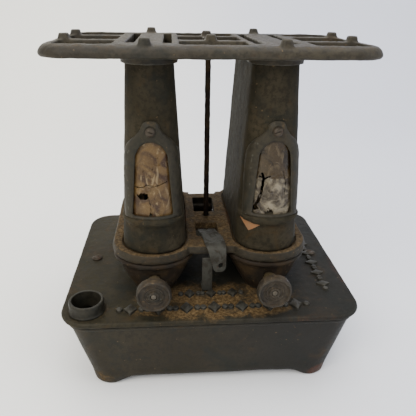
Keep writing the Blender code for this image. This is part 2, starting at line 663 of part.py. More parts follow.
def build_window(name, side):
    edge_front = FRAME_FRONT - 0.6 * MM
    section = ((0, FRAME_BACK), (0, edge_front), (0.2, FRAME_FRONT), (0.5, FRAME_FRONT), (0.8, FRAME_FRONT),
               (1, edge_front), (1, FRAME_BACK), (0.5, FRAME_BACK))
    rings = []
    for outer, inner in frame_stations():
        spots = [(Vector(outer).lerp(Vector(inner), share), proud) for share, proud in section]
        rings.append([on_front(side, spot.x, spot.y, proud) for spot, proud in spots])
    frame = place("window_frame_" + name, loft_mesh("window_frame", [rings], closed=True), IRON)
    hole = cylinder_mesh("frame_hole", 1.7 * MM, 24 * MM, 12)
    cut(frame, tool("frame_screw_hole_" + name, hole, (side * CHIMNEY_X, -60 * MM, SCREW_Z), TO_FRONT))
    head_back = on_front(side, 0, SCREW_Z, FRAME_FRONT + GAP).y
    screw_at = (side * CHIMNEY_X, head_back, SCREW_Z)
    slotted_screw("window_screw_" + name, screw_at, 3.3 * MM, 2.2 * MM, 1.4 * MM, 8 * MM,
                  TO_FRONT, slot_turn=0.35)
    edge = opening_edge(2.2 * MM)[:-1] + [(5 * MM, 189.2 * MM)]
    columns = [share / 3 for share in range(-3, 4)]
    rings = []
    for across, z in edge:
        front = [on_front(side, across * share, z, GAP + PANE_THICK) for share in columns]
        back = [on_front(side, across * share, z, GAP) for share in reversed(columns)]
        rings.append(front + back)
    place("mica_pane_" + name, loft_mesh("mica_pane", [rings]), MICA)


def build_deflector(name, side):
    """A pressed dome in the chimney's foot with a slot that the wick burns in."""
    middle = (side * CHIMNEY_X, 0)
    slot = (wick_x(side), 0)
    floor = BASE_TOP - SEAT_DEPTH + GAP
    flange = (21.2 * MM, 63.2 * MM)
    sheet = 0.8 * MM
    slot_half = (4.2 * MM, 52.5 * MM)
    rings = [
        oval(flange, floor, middle), oval(flange, floor + sheet, middle),
        oval((19.6 * MM, 61.6 * MM), floor + sheet, middle),
        ring((11 * MM, 56 * MM), 9 * MM, 110.4 * MM, slot, 6),
        ring(slot_half, 3 * MM, 113 * MM, slot, 6), ring(slot_half, 3 * MM, 112 * MM, slot, 6),
        ring((10.6 * MM, 55.2 * MM), 9 * MM, 109.4 * MM, slot, 6), oval((19.0 * MM, 61 * MM), floor, middle),
    ]
    place("flame_deflector_" + name, loft_mesh("flame_deflector", [rings], closed=True), BRASS)


# ---------------------------------------------------------------- grate, tie rod, latch

def grate_slots():
    """Vertical prisms that open the grate: three bays in each of three groups, and the flues."""
    solids = []
    low, high = GRATE_LOW - 12 * MM, GRATE_TOP + 12 * MM
    middle_y, middle_half = 0, 18.6 * MM
    end_y, end_half = 43.2 * MM, 16 * MM
    bays = ((-end_y, end_half), (middle_y, middle_half), (end_y, end_half))
    for y, half_y in bays:
        for side in (-1, 1):
            solids.append(prism((18.6 * MM, half_y), 5 * MM, low, high, (side * 85.4 * MM, y), 3))
    for y in (-end_y, end_y):
        solids.append(prism((23.2 * MM, end_half), 5 * MM, low, high, (0, y), 3))
    for side in (-1, 1):
        solids.append(prism((9.6 * MM, middle_half), 3.6 * MM, low, high, (side * 13.6 * MM, 0), 3))
        for edge in (-1, 1):
            x = side * CHIMNEY_X + edge * 12.6 * MM
            solids.append(prism((2.9 * MM, 49 * MM), 2.4 * MM, low, high, (x, 0), 2))
    return solids


def grate_lugs():
    """Pot lugs as (x, y) of their middles."""
    front = [(side * 45, y) for side in (-1, 1) for y in (-63, 66)]
    ends = [(side * 102, y) for side in (-1, 1) for y in (-23, 23)]
    return front + ends + [(0, -23), (0, 23)]


def build_grate():
    steps = ((2.6, 0), (0.6, 0.9), (0, 2.4), (0.9, 5.0), (2.6, 7.0), (5.2, 8.2), (8.2, 8.7))
    rings = [ring(grown(GRATE_HALF, -inset * MM), GRATE_RADIUS - inset * MM, GRATE_LOW + up * MM, arc=6)
             for inset, up in steps]
    grate = place("top_grate", loft_mesh("top_grate", [rings]), IRON)
    collar_low = 237.8 * MM
    outer, inner = grown(CHIMNEY_HALF_TOP, 2.9 * MM), grown(CHIMNEY_HALF_TOP, 0.6 * MM)
    for name, side in SIDES:
        centre = (side * CHIMNEY_X, 0)
        collar_top = GRATE_LOW + 1 * MM
        skirt = [oval(half, z, centre) for half, z in (
            (outer, collar_low), (outer, collar_top), (inner, collar_top), (inner, collar_low))]
        join(grate, tool("collar_" + name, loft_mesh("collar", [skirt], closed=True)))
    cut(grate, tool("grate_slots", loft_mesh("grate_slots", grate_slots())))
    boss = cylinder_mesh("rod_boss", 6.4 * MM, 5 * MM, 20)
    join(grate, tool("rod_boss", boss, (*ROD_AT, GRATE_LOW + 1.9 * MM)))
    lugs = []
    for x, y in grate_lugs():
        sections = ((4.2, GRATE_TOP - 1.5 * MM), (4.1, GRATE_TOP + 0.4 * MM), (3.3, GRATE_TOP + LUG_RISE))
        lugs.append([ring((half * MM, half * MM), 1.8 * MM, z, (x * MM, y * MM), 1) for half, z in sections])
    join(grate, tool("pot_lugs", loft_mesh("pot_lugs", lugs)))
    recess = cylinder_mesh("rod_recess", 5.4 * MM, 10 * MM, 20)
    cut(grate, tool("rod_recess", recess, (*ROD_AT, GRATE_LOW + 4.4 * MM + 5 * MM)))
    rod_hole = cylinder_mesh("rod_hole", ROD_RADIUS + GAP, 40 * MM, 16)
    cut(grate, tool("grate_rod_hole", rod_hole, (*ROD_AT, GRATE_TOP)))


def build_tie_rod():
    head_low = GRATE_LOW + 4.4 * MM + GAP
    low = BASE_LOW - 5.4 * MM
    head = 4.6 * MM
    profile = [(0, head_low + 2.2 * MM), (head * 0.7, head_low + 2.0 * MM), (head, head_low + 1.1 * MM),
               (head, head_low), (ROD_RADIUS, head_low), (ROD_RADIUS, low), (0, low)]
    turned("tie_rod", profile, RUST, (*ROD_AT, 0), steps=16)
    nut = outline_mesh("nut", [circle(5.4 * MM, count=6), circle(ROD_RADIUS + GAP, count=16)], 3.6 * MM)
    place("tie_rod_nut", nut, STEEL, (*ROD_AT, BASE_LOW - GAP - 1.8 * MM))


def build_latch():
    """A rocking clip: tongue down in the bridge slot, leg over the front bar.

    Each station is (y, z above the bridge, left edge, right edge, lean).
    """
    rest = BASE_TOP + GAP + 0.6 * MM
    stations = (
        (-21.0, -4.6, -8.6, 5.6, 105), (-30.0, -1.6, -8.6, 6.0, 100), (-38.4, 0.0, -7.6, 6.8, 90),
        (-41.0, 0.0, -7.0, 8.8, 90), (-47.0, 0.0, -5.6, 10.0, 90), (-57.5, 0.0, -3.6, 10.8, 90),
        (-60.4, -1.1, -2.8, 11.0, 45),
        (-61.6, -4.2, -2.0, 11.0, 0), (-62.0, -21.0, 1.6, 11.0, 0))
    half = 0.6 * MM
    rings = []
    for y, z, left, right, lean in stations:
        angle = math.radians(lean)
        normal = Vector((0, -math.cos(angle), math.sin(angle))) * half
        middle = Vector((0, y * MM, rest + z * MM))
        corners = ((left, 1), (right, 1), (right, -1), (left, -1))
        rings.append([middle + Vector((x * MM, 0, 0)) + normal * sign for x, sign in corners])
    clip = place("latch_clip", loft_mesh("latch_clip", [rings]), STEEL)
    notch = [(-7 * MM, -13 * MM), (4 * MM, -13 * MM), (-1.5 * MM, -26 * MM)]
    cut(clip, tool("fishtail", outline_mesh("fishtail", [notch], 30 * MM), (0, 0, rest)))
    eye = cylinder_mesh("eye", 2.2 * MM, 12 * MM, 14)
    cut(clip, tool("latch_eye", eye, (6.4 * MM, -62 * MM, rest - 16 * MM), TO_FRONT))


def build_stove():
    build_tank()
    build_gasket()
    build_deck()
    build_neck()
    build_deck_screws()
    for name, side in SIDES:
        build_cup(name, side)
        build_wick(name, side)
        build_gland(name, side)
        build_knob(name, side)
        build_shaft(name, side)
        build_bearing(name, side)
        build_chimney(name, side)
        build_window(name, side)
        build_deflector(name, side)
    build_hinge()
    build_keeper()
    build_chimney_base()
    build_grate()
    build_tie_rod()
    build_latch()


clear_scene()
PARTS = new_collection("kerosene_stove")
CUTTERS = new_collection("cutters")
build_stove()
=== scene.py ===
"""The looks of a two-burner cast-iron kerosene stove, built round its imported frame.

Frame: origin on the table under the middle of the tank, +X right, +Y back,
+Z up, in metres.  The knobs are on the front, at -Y.
"""
import json
import math
import random

import bmesh
import bpy
from mathutils import Matrix, Vector, noise

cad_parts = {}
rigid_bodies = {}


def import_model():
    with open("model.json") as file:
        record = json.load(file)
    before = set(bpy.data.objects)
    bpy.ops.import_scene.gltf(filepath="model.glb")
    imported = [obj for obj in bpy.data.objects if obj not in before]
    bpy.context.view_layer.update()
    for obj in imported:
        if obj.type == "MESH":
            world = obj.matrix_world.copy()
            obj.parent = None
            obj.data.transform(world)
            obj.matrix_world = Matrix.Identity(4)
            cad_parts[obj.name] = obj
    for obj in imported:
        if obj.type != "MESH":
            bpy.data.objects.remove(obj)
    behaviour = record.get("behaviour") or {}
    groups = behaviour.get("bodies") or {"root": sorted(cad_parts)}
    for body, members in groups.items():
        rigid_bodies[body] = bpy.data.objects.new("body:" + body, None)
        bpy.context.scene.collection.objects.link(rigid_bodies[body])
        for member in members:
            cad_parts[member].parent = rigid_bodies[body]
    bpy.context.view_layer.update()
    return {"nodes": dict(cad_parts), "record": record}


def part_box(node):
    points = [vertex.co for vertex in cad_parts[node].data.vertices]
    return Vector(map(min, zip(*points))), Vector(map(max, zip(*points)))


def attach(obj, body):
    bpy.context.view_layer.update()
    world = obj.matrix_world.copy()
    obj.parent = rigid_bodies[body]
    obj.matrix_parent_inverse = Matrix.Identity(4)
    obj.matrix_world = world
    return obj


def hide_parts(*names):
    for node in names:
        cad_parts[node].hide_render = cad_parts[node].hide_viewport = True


for leftover in list(bpy.data.objects):
    bpy.data.objects.remove(leftover, do_unlink=True)
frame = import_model()

MM = 0.001
SIDES = (("left", -1), ("right", 1))
TO_FRONT = Matrix.Rotation(math.radians(90), 4, "X")
ALONG_X = Matrix.Rotation(math.radians(90), 4, "Y")
SIDE_VIEW = Matrix(((0, 0, 1, 0), (1, 0, 0, 0), (0, 1, 0, 0), (0, 0, 0, 1)))

# Places read from the frame
DECK_LOW, DECK_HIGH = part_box("tank_deck")
TANK_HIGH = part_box("oil_tank")[1]
NECK_LOW, NECK_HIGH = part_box("filler_neck")
BASE_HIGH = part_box("chimney_base")[1]
GRATE_LOW, GRATE_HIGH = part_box("top_grate")
PIN_LOW, PIN_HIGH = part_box("hinge_pin")
ROD_LOW, ROD_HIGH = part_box("tie_rod")
KEEPER_LOW, KEEPER_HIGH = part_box("latch_keeper")
DECK_TOP = DECK_HIGH.z
NECK_AT = (NECK_LOW + NECK_HIGH) / 2
ROD_AT = (ROD_LOW + ROD_HIGH) / 2
PIN_AT = (PIN_LOW + PIN_HIGH) / 2
GRATE_TOP = GRATE_HIGH.z - 4 * MM
GRATE_RADIUS = 22      # of the outline's corners, in millimetres
DECK_RADIUS = 22
BASE_TOP = BASE_HIGH.z
BURNER_X = 44.0 * MM
CHIMNEY_X = 43.4 * MM
CHIMNEY_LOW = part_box("chimney_left")[0].z
CHIMNEY_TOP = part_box("chimney_left")[1].z
CHIMNEY_HALF_LOW = (24.6 * MM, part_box("chimney_left")[1].y)
CHIMNEY_HALF_TOP = (16.6 * MM, 56.8 * MM)
GAP = 0.3 * MM


# ---------------------------------------------------------------- shapes

def ring(half, radius, z, centre=(0, 0), arc=10, along=(1, 1), lift=None):
    """A rounded rectangle, anticlockwise from above, with along steps on its sides."""
    half_x, half_y = half
    radius = min(radius, 0.9995 * min(half_x, half_y))
    points = []
    corners = ((1, 1, 0), (-1, 1, 90), (-1, -1, 180), (1, -1, 270))
    for index, (sign_x, sign_y, start) in enumerate(corners):
        hub = Vector((centre[0] + sign_x * (half_x - radius), centre[1] + sign_y * (half_y - radius), z))
        for step in range(arc + 1):
            turn = math.radians(start + 90 * step / arc)
            points.append(hub + radius * Vector((math.cos(turn), math.sin(turn), 0)))
        length = 2 * ((half_x if index % 2 == 0 else half_y) - radius)
        steps = along[index % 2]
        heading = Vector(((-1, 0, 0), (0, -1, 0), (1, 0, 0), (0, 1, 0))[index])
        last = points[-1].copy()
        points += [last + heading * length * step / steps for step in range(1, steps)]
    if lift:
        for point in points:
            reach_x = max(0.0, (half_x - radius) - abs(point.x - centre[0]))
            reach_y = max(0.0, (half_y - radius) - abs(point.y - centre[1]))
            on_corner = (abs(point.x - centre[0]) > half_x - radius
                         and abs(point.y - centre[1]) > half_y - radius)
            point.z += lift(0.0 if on_corner else max(reach_x, reach_y))
    return points


def grown(half, amount):
    return (half[0] + amount, half[1] + amount)


def oval(half, z, centre, arc=22, sides=10):
    """A stadium: half circles at the front and back, straight sides between."""
    return ring(half, half[0], z, centre, arc, (1, sides))


def skin(bm, rings, closed=False):
    layers = [[bm.verts.new(point) for point in points] for points in rings]
    pairs = list(zip(layers, layers[1:]))
    if closed:
        pairs.append((layers[-1], layers[0]))
    for low, high in pairs:
        for here in range(len(low)):
            after = (here + 1) % len(low)
            bm.faces.new((low[here], low[after], high[after], high[here]))
    if not closed:
        bm.faces.new(list(reversed(layers[0])))
        bm.faces.new(layers[-1])


def mesh_object(name, bm, sharp=38):
    bmesh.ops.recalc_face_normals(bm, faces=bm.faces)
    mesh = bpy.data.meshes.new(name)
    bm.to_mesh(mesh)
    bm.free()
    return shown(name, mesh, sharp)


def shown(name, mesh, sharp=38):
    mesh.shade_smooth()
    mesh.set_sharp_from_angle(angle=math.radians(sharp))
    obj = bpy.data.objects.new(name, mesh)
    bpy.context.scene.collection.objects.link(obj)
    return obj


def loft(name, rings, closed=False, sharp=38):
    bm = bmesh.new()
    skin(bm, rings, closed)
    return mesh_object(name, bm, sharp)


def rounded(points, radius, steps=4, closed=False):
    """A polyline with its corners filleted, as a list of 2D points."""
    corners = [Vector(point) for point in points]
    count = len(corners)
    smooth = []
    for index, corner in enumerate(corners):
        if not closed and index in (0, count - 1):
            smooth.append(tuple(corner))
            continue
        back = corners[index - 1] - corner
        ahead = corners[(index + 1) % count] - corner
        trim = min(radius, 0.48 * back.length, 0.48 * ahead.length)
        start = corner + back.normalized() * trim
        end = corner + ahead.normalized() * trim
        for step in range(steps + 1):
            share = step / steps
            spot = start.lerp(corner, share).lerp(corner.lerp(end, share), share)
            smooth.append(tuple(spot))
    return smooth


def lathe(name, profile, at, turn=None, steps=64, sharp=38):
    """Turns a closed (radius, height) outline about local Z."""
    placed = Matrix.Translation(at) @ (turn or Matrix.Identity(4))
    bm = bmesh.new()
    hoops = []
    for radius, height in profile:
        if radius < 1e-6:
            hoops.append([bm.verts.new(placed @ Vector((0, 0, height)))])
            continue
        angles = [2 * math.pi * step / steps for step in range(steps)]
        spots = [Vector((radius * math.cos(a), radius * math.sin(a), height)) for a in angles]
        hoops.append([bm.verts.new(placed @ spot) for spot in spots])
    pairs = list(zip(hoops, hoops[1:]))
    if len(hoops[0]) > 1 or len(hoops[-1]) > 1:
        pairs.append((hoops[-1], hoops[0]))
    for one, two in pairs:
        for here in range(steps):
            after = (here + 1) % steps
            corners = [one[here % len(one)], one[after % len(one)], two[after % len(two)],
                       two[here % len(two)]]
            corners = list(dict.fromkeys(corners))
            if len(corners) > 2:
                bm.faces.new(corners)
    return mesh_object(name, bm, sharp)


def plate(name, outline, thickness, at=(0, 0, 0), turn=None, edge=0.0):
    """A flat plate about local z = 0 from a closed outline, with softened edges."""
    placed = Matrix.Translation(at) @ (turn or Matrix.Identity(4))
    half = thickness / 2
    bm = bmesh.new()
    skin(bm, [[placed @ Vector((x, y, z)) for x, y in outline] for z in (-half, half)])
    obj = mesh_object(name, bm)
    if edge:
        bevel(obj, edge)
    return obj


def cylinder(name, radius, length, at, turn=None, steps=48):
    return lathe(name, [(0, length / 2), (radius, length / 2), (radius, -length / 2), (0, -length / 2)],
                 at, turn, steps)


def settle(obj):
    """Turns an object's modifiers into plain mesh."""
    graph = bpy.context.evaluated_depsgraph_get()
    mesh = bpy.data.meshes.new_from_object(obj.evaluated_get(graph))
    obj.modifiers.clear()
    obj.data = mesh
    return obj


def bevel(obj, width, segments=3, angle=30):
    modifier = obj.modifiers.new("bevel", "BEVEL")
    modifier.width = width
    modifier.segments = segments
    modifier.limit_method = "ANGLE"
    modifier.angle_limit = math.radians(angle)
    modifier.use_clamp_overlap = True
    settle(obj)
    obj.data.shade_smooth()
    obj.data.set_sharp_from_angle(angle=math.radians(38))
    return obj


def combine(obj, others, operation):
    for other in others:
        modifier = obj.modifiers.new(other.name, "BOOLEAN")
        modifier.operation = operation
        modifier.object = other
        modifier.solver = "EXACT"
    settle(obj)
    for other in others:
        bpy.data.objects.remove(other, do_unlink=True)
    return obj


def join(obj, *others):
    return combine(obj, others, "UNION")


def cut(obj, *others):
    return combine(obj, others, "DIFFERENCE")


def cast(obj, grain, passes=4):
    """Rounds every edge and inner corner the way a sand casting has them."""
    remesh = obj.modifiers.new("grain", "REMESH")
    remesh.mode = "VOXEL"
    remesh.voxel_size = grain
    smooth = obj.modifiers.new("smooth", "SMOOTH")
    smooth.factor = 0.5
    smooth.iterations = passes
    settle(obj)
    obj.data.shade_smooth()
    return obj


def uneven(obj, depth, size, seed=0.0):
    """Lets the surface wander inwards by up to depth, over lumps of a given size."""
    drift = Vector((seed, 2 * seed, -seed))
    skin_points = [(vertex.co.copy(), vertex.normal.copy()) for vertex in obj.data.vertices]
    moved = []
    for spot, normal in skin_points:
        lump = noise.fractal(spot / size + drift, 0.7, 2.0, 3)
        moved.extend(spot - normal * depth * min(1.0, max(0.0, 0.5 + 0.7 * lump)))
    obj.data.vertices.foreach_set("co", moved)
    obj.data.update()
    return obj


def blend_points(points, steps):
    """A smooth curve through open points, with a number of steps for each span."""
    spots = [Vector(point) for point in points]
    spots = [2 * spots[0] - spots[1]] + spots + [2 * spots[-1] - spots[-2]]
    curve = []
    for index in range(1, len(spots) - 2):
        before, here, there, after = spots[index - 1:index + 3]
        for step in range(steps):
            t = step / steps
            curve.append(0.5 * (2 * here + (there - before) * t
                                + (2 * before - 5 * here + 4 * there - after) * t ** 2
                                + (3 * here - before - 3 * there + after) * t ** 3))
    curve.append(spots[-2])
    return curve


def ease(share):
    share = min(1.0, max(0.0, share))
    return share * share * (3 - 2 * share)


# ---------------------------------------------------------------- materials

class Look:
    """Builds one node material, mask by mask, in the stove's own metres."""

    def __init__(self, name):
        self.material = bpy.data.materials.new(name)
        self.material.use_nodes = True
        self.tree = self.material.node_tree
        self.shader = self.tree.nodes["Principled BSDF"]
        coords = self.add("ShaderNodeTexCoord")
        self.place = coords.outputs["Object"]
        self.normal = coords.outputs["Normal"]

    def feed(self, socket, value):
        if isinstance(value, bpy.types.NodeSocket):
            self.tree.links.new(value, socket)
        elif hasattr(value, "__len__") and len(value) == 3 and socket.type == "RGBA":
            socket.default_value = (*value, 1)
        else:
            socket.default_value = value

    def add(self, kind, settings=(), **inputs):
        node = self.tree.nodes.new("ShaderNode" + kind if not kind.startswith("Shader") else kind)
        for key, value in dict(settings).items():
            setattr(node, key, value)
        for key, value in inputs.items():
            self.feed(node.inputs[key.replace("_", " ")], value)
        return node

    def noise(self, size, detail=4, rough=0.55, bend=0.0, stretch=None):
        """Cloudy values about 0.5, with lumps of a size in millimetres."""
        where = self.place
        if stretch:
            where = self.add("Mapping", Vector=where, Scale=stretch).outputs[0]
        node = self.add("TexNoise", Vector=where, Scale=1 / (size * MM), Detail=detail, Roughness=rough,
                        Distortion=bend)
        return node.outputs[0]

    def mask(self, value, low, high):
        node = self.add("MapRange", {"interpolation_type": "SMOOTHSTEP"}, Value=value, From_Min=low,
                        From_Max=high)
        return node.outputs[0]

    def math(self, operation, one, two=0.0):
        node = self.add("Math", {"operation": operation, "use_clamp": operation not in ("ADD", "SUBTRACT")})
        self.feed(node.inputs[0], one)
        self.feed(node.inputs[1], two)
        return node.outputs[0]

    def both(self, one, two):
        return self.math("MULTIPLY", one, two)

    def either(self, one, two):
        return self.math("MAXIMUM", one, two)

    def mix(self, under, over, share):
        node = self.add("Mix", {"data_type": "RGBA"})
        self.feed(node.inputs[0], share)
        self.feed(node.inputs[6], under)
        self.feed(node.inputs[7], over)
        return node.outputs[2]

    def blend(self, under, over, share):
        node = self.add("Mix", {"data_type": "FLOAT"})
        self.feed(node.inputs[0], share)
        self.feed(node.inputs[2], under)
        self.feed(node.inputs[3], over)
        return node.outputs[0]

    def near(self, centre, reach):
        """1 at a place, falling to 0 at reach; both in millimetres."""
        moved = self.add("Mapping", {"vector_type": "TEXTURE"}, Vector=self.place,
                         Location=Vector(centre) * MM, Scale=Vector(reach) * MM)
        ball = self.add("TexGradient", {"gradient_type": "SPHERICAL"}, Vector=moved.outputs[0])
        return ball.outputs[1]

    def upward(self, low=0.5, high=0.95):
        return self.mask(self.add("SeparateXYZ", Vector=self.normal).outputs[2], low, high)

    def height(self, low, high):
        return self.mask(self.add("SeparateXYZ", Vector=self.place).outputs[2], low * MM, high * MM)

    def across(self, low, high):
        return self.mask(self.add("SeparateXYZ", Vector=self.place).outputs[0], low * MM, high * MM)

    def edges(self, low=0.51, high=0.58):
        return self.mask(self.add("NewGeometry").outputs["Pointiness"], low, high)

    def bump(self, layers):
        """Stacks (height, depth in millimetres) layers into one normal."""
        below = None
        for value, depth in layers:
            node = self.add("Bump", Height=value, Distance=depth * MM)
            if below:
                self.feed(node.inputs["Normal"], below)
            below = node.outputs[0]
        self.feed(self.shader.inputs["Normal"], below)

    def coat(self, colour, rough, metal=0.0):
        self.feed(self.shader.inputs["Base Color"], colour)
        self.feed(self.shader.inputs["Roughness"], rough)
        self.feed(self.shader.inputs["Metallic"], metal)
        return self.material


TAN = (0.118, 0.078, 0.036)
BROWN = (0.038, 0.023, 0.009)
RED_RUST = (0.085, 0.028, 0.012)
WORN = (0.070, 0.067, 0.056)


def iron(name, dark, light, dust=0.25, rust=0.3, wear=0.5, rough=0.5, spots=(), red=(), seed=0.0, side_shade=None,
         gloss=0.16, grain_depth=0.16):
    """Old cast iron: olive-black, worn grey on its edges, dusted with tan rust.

    spots are (centre, reach, strength) places where dust lies thick, and red
    the same for orange-red rust. A (colour, mask) pair can also darken one side of the part as painted shade.
    """
    look = Look(name)
    cloud = look.mask(look.noise(42 + seed, 5, 0.6, 0.4), 0.36, 0.64)
    fine = look.noise(3.4, 6, 0.7)
    grit = look.noise(0.9, 3, 0.7)
    colour = look.mix(dark, light, cloud)
    # Painted shade: a darker, greyer colour laid over one side of the part.
    if side_shade:
        colour = look.mix(colour, side_shade[0], look.both(side_shade[1](look), 0.75))
    colour = look.mix(colour, tuple(0.45 * part for part in dark),
                      look.both(look.mask(fine, 0.56, 0.40), 0.6))
    film = look.mask(look.noise(17 + seed, 7, 0.68, 0.8), 0.66 - 0.30 * rust, 0.86 - 0.22 * rust)
    colour = look.mix(colour, BROWN, look.both(film, 0.85))
    cool = look.mask(look.noise(26 + seed, 4, 0.6, 0.7), 0.50, 0.68)
    colour = look.mix(colour, (0.0085, 0.0105, 0.0090), look.both(cool, 0.55))
    specks = look.mask(look.noise(2.6, 2, 0.5), 0.735 - 0.08 * rust, 0.80 - 0.08 * rust)
    colour = look.mix(colour, TAN, look.both(specks, 0.55))
    worn = look.both(look.edges(), look.mask(look.noise(9, 5, 0.7), 0.30, 0.62))
    worn = look.both(worn, wear)
    colour = look.mix(colour, WORN, worn)
    lie = look.both(look.upward(0.35, 0.9), dust)
    drift = look.blend(0.76, 1.20, look.mask(look.noise(19, 4, 0.6, 1.0), 0.38, 0.58))
    for centre, reach, strength in spots:
        patch = look.both(look.mask(look.near(centre, reach), 0.0, 0.75), strength)
        lie = look.either(lie, look.both(patch, drift))
    grain = look.math("ADD", look.both(look.noise(6.5, 6, 0.75, 0.6), 0.62), look.both(grit, 0.38))
    lie_share = look.mask(look.math("ADD", grain, lie), 0.84, 1.26)
    powder = look.mix(BROWN, TAN, look.mask(look.noise(2.1, 5, 0.75), 0.38, 0.66))
    colour = look.mix(colour, powder, lie_share)
    for centre, reach, strength in red:
        glow = look.both(look.mask(look.near(centre, reach), 0.0, 0.5), strength)
        glow = look.mask(look.math("ADD", glow, look.both(grain, 0.8)), 0.72, 1.15)
        colour = look.mix(colour, RED_RUST, glow)
    shine = look.blend(rough, rough + 0.22, look.mask(fine, 0.35, 0.7))
    shine = look.blend(shine, 0.93, lie_share)
    shine = look.blend(shine, 0.45, look.both(worn, 0.5))
    look.feed(look.shader.inputs["Specular IOR Level"], gloss)
    look.bump([(look.noise(11, 4, 0.6), 0.35), (fine, grain_depth), (grit, grain_depth / 3),
               (look.both(lie_share, look.noise(1.3, 4, 0.8)), 0.25)])
    return look.coat(colour, shine, look.both(worn, 0.2))


def steel(name, colour, dark, rough=0.45, rust=0.3, seed=0.0):
    """Old drawn steel or brass: dull metal with a stained, pitted skin."""
    look = Look(name)
    stain = look.mask(look.noise(7 + seed, 6, 0.7, 0.5), 0.42, 0.64)
    fine = look.noise(1.4, 5, 0.7)
    tone = look.mix(colour, dark, stain)
    tone = look.mix(tone, RED_RUST, look.both(look.mask(look.noise(3.2, 6, 0.75), 0.66 - 0.2 * rust, 0.8),
                                              0.8))
    worn = look.both(look.edges(0.52, 0.62), 0.5)
    tone = look.mix(tone, tuple(min(1.0, 1.7 * part) for part in colour), worn)
    look.bump([(fine, 0.10), (look.noise(0.6, 2, 0.5), 0.03)])
    look.feed(look.shader.inputs["Specular IOR Level"], 0.25)
    return look.coat(tone, look.blend(rough, rough + 0.3, stain), look.blend(0.45, 0.10, stain))


# ---------------------------------------------------------------- looks of each part

def right_shade_share(look):
    """A mask that is 1 on the stove's right, where painted shade darkens the iron."""
    return look.across(-30, 70)


# Painted shade: a darker, cooler iron colour over the stove's right side, away from the light.
RIGHT_PAINTED_SHADE = ((0.0120, 0.0122, 0.0118), right_shade_share)


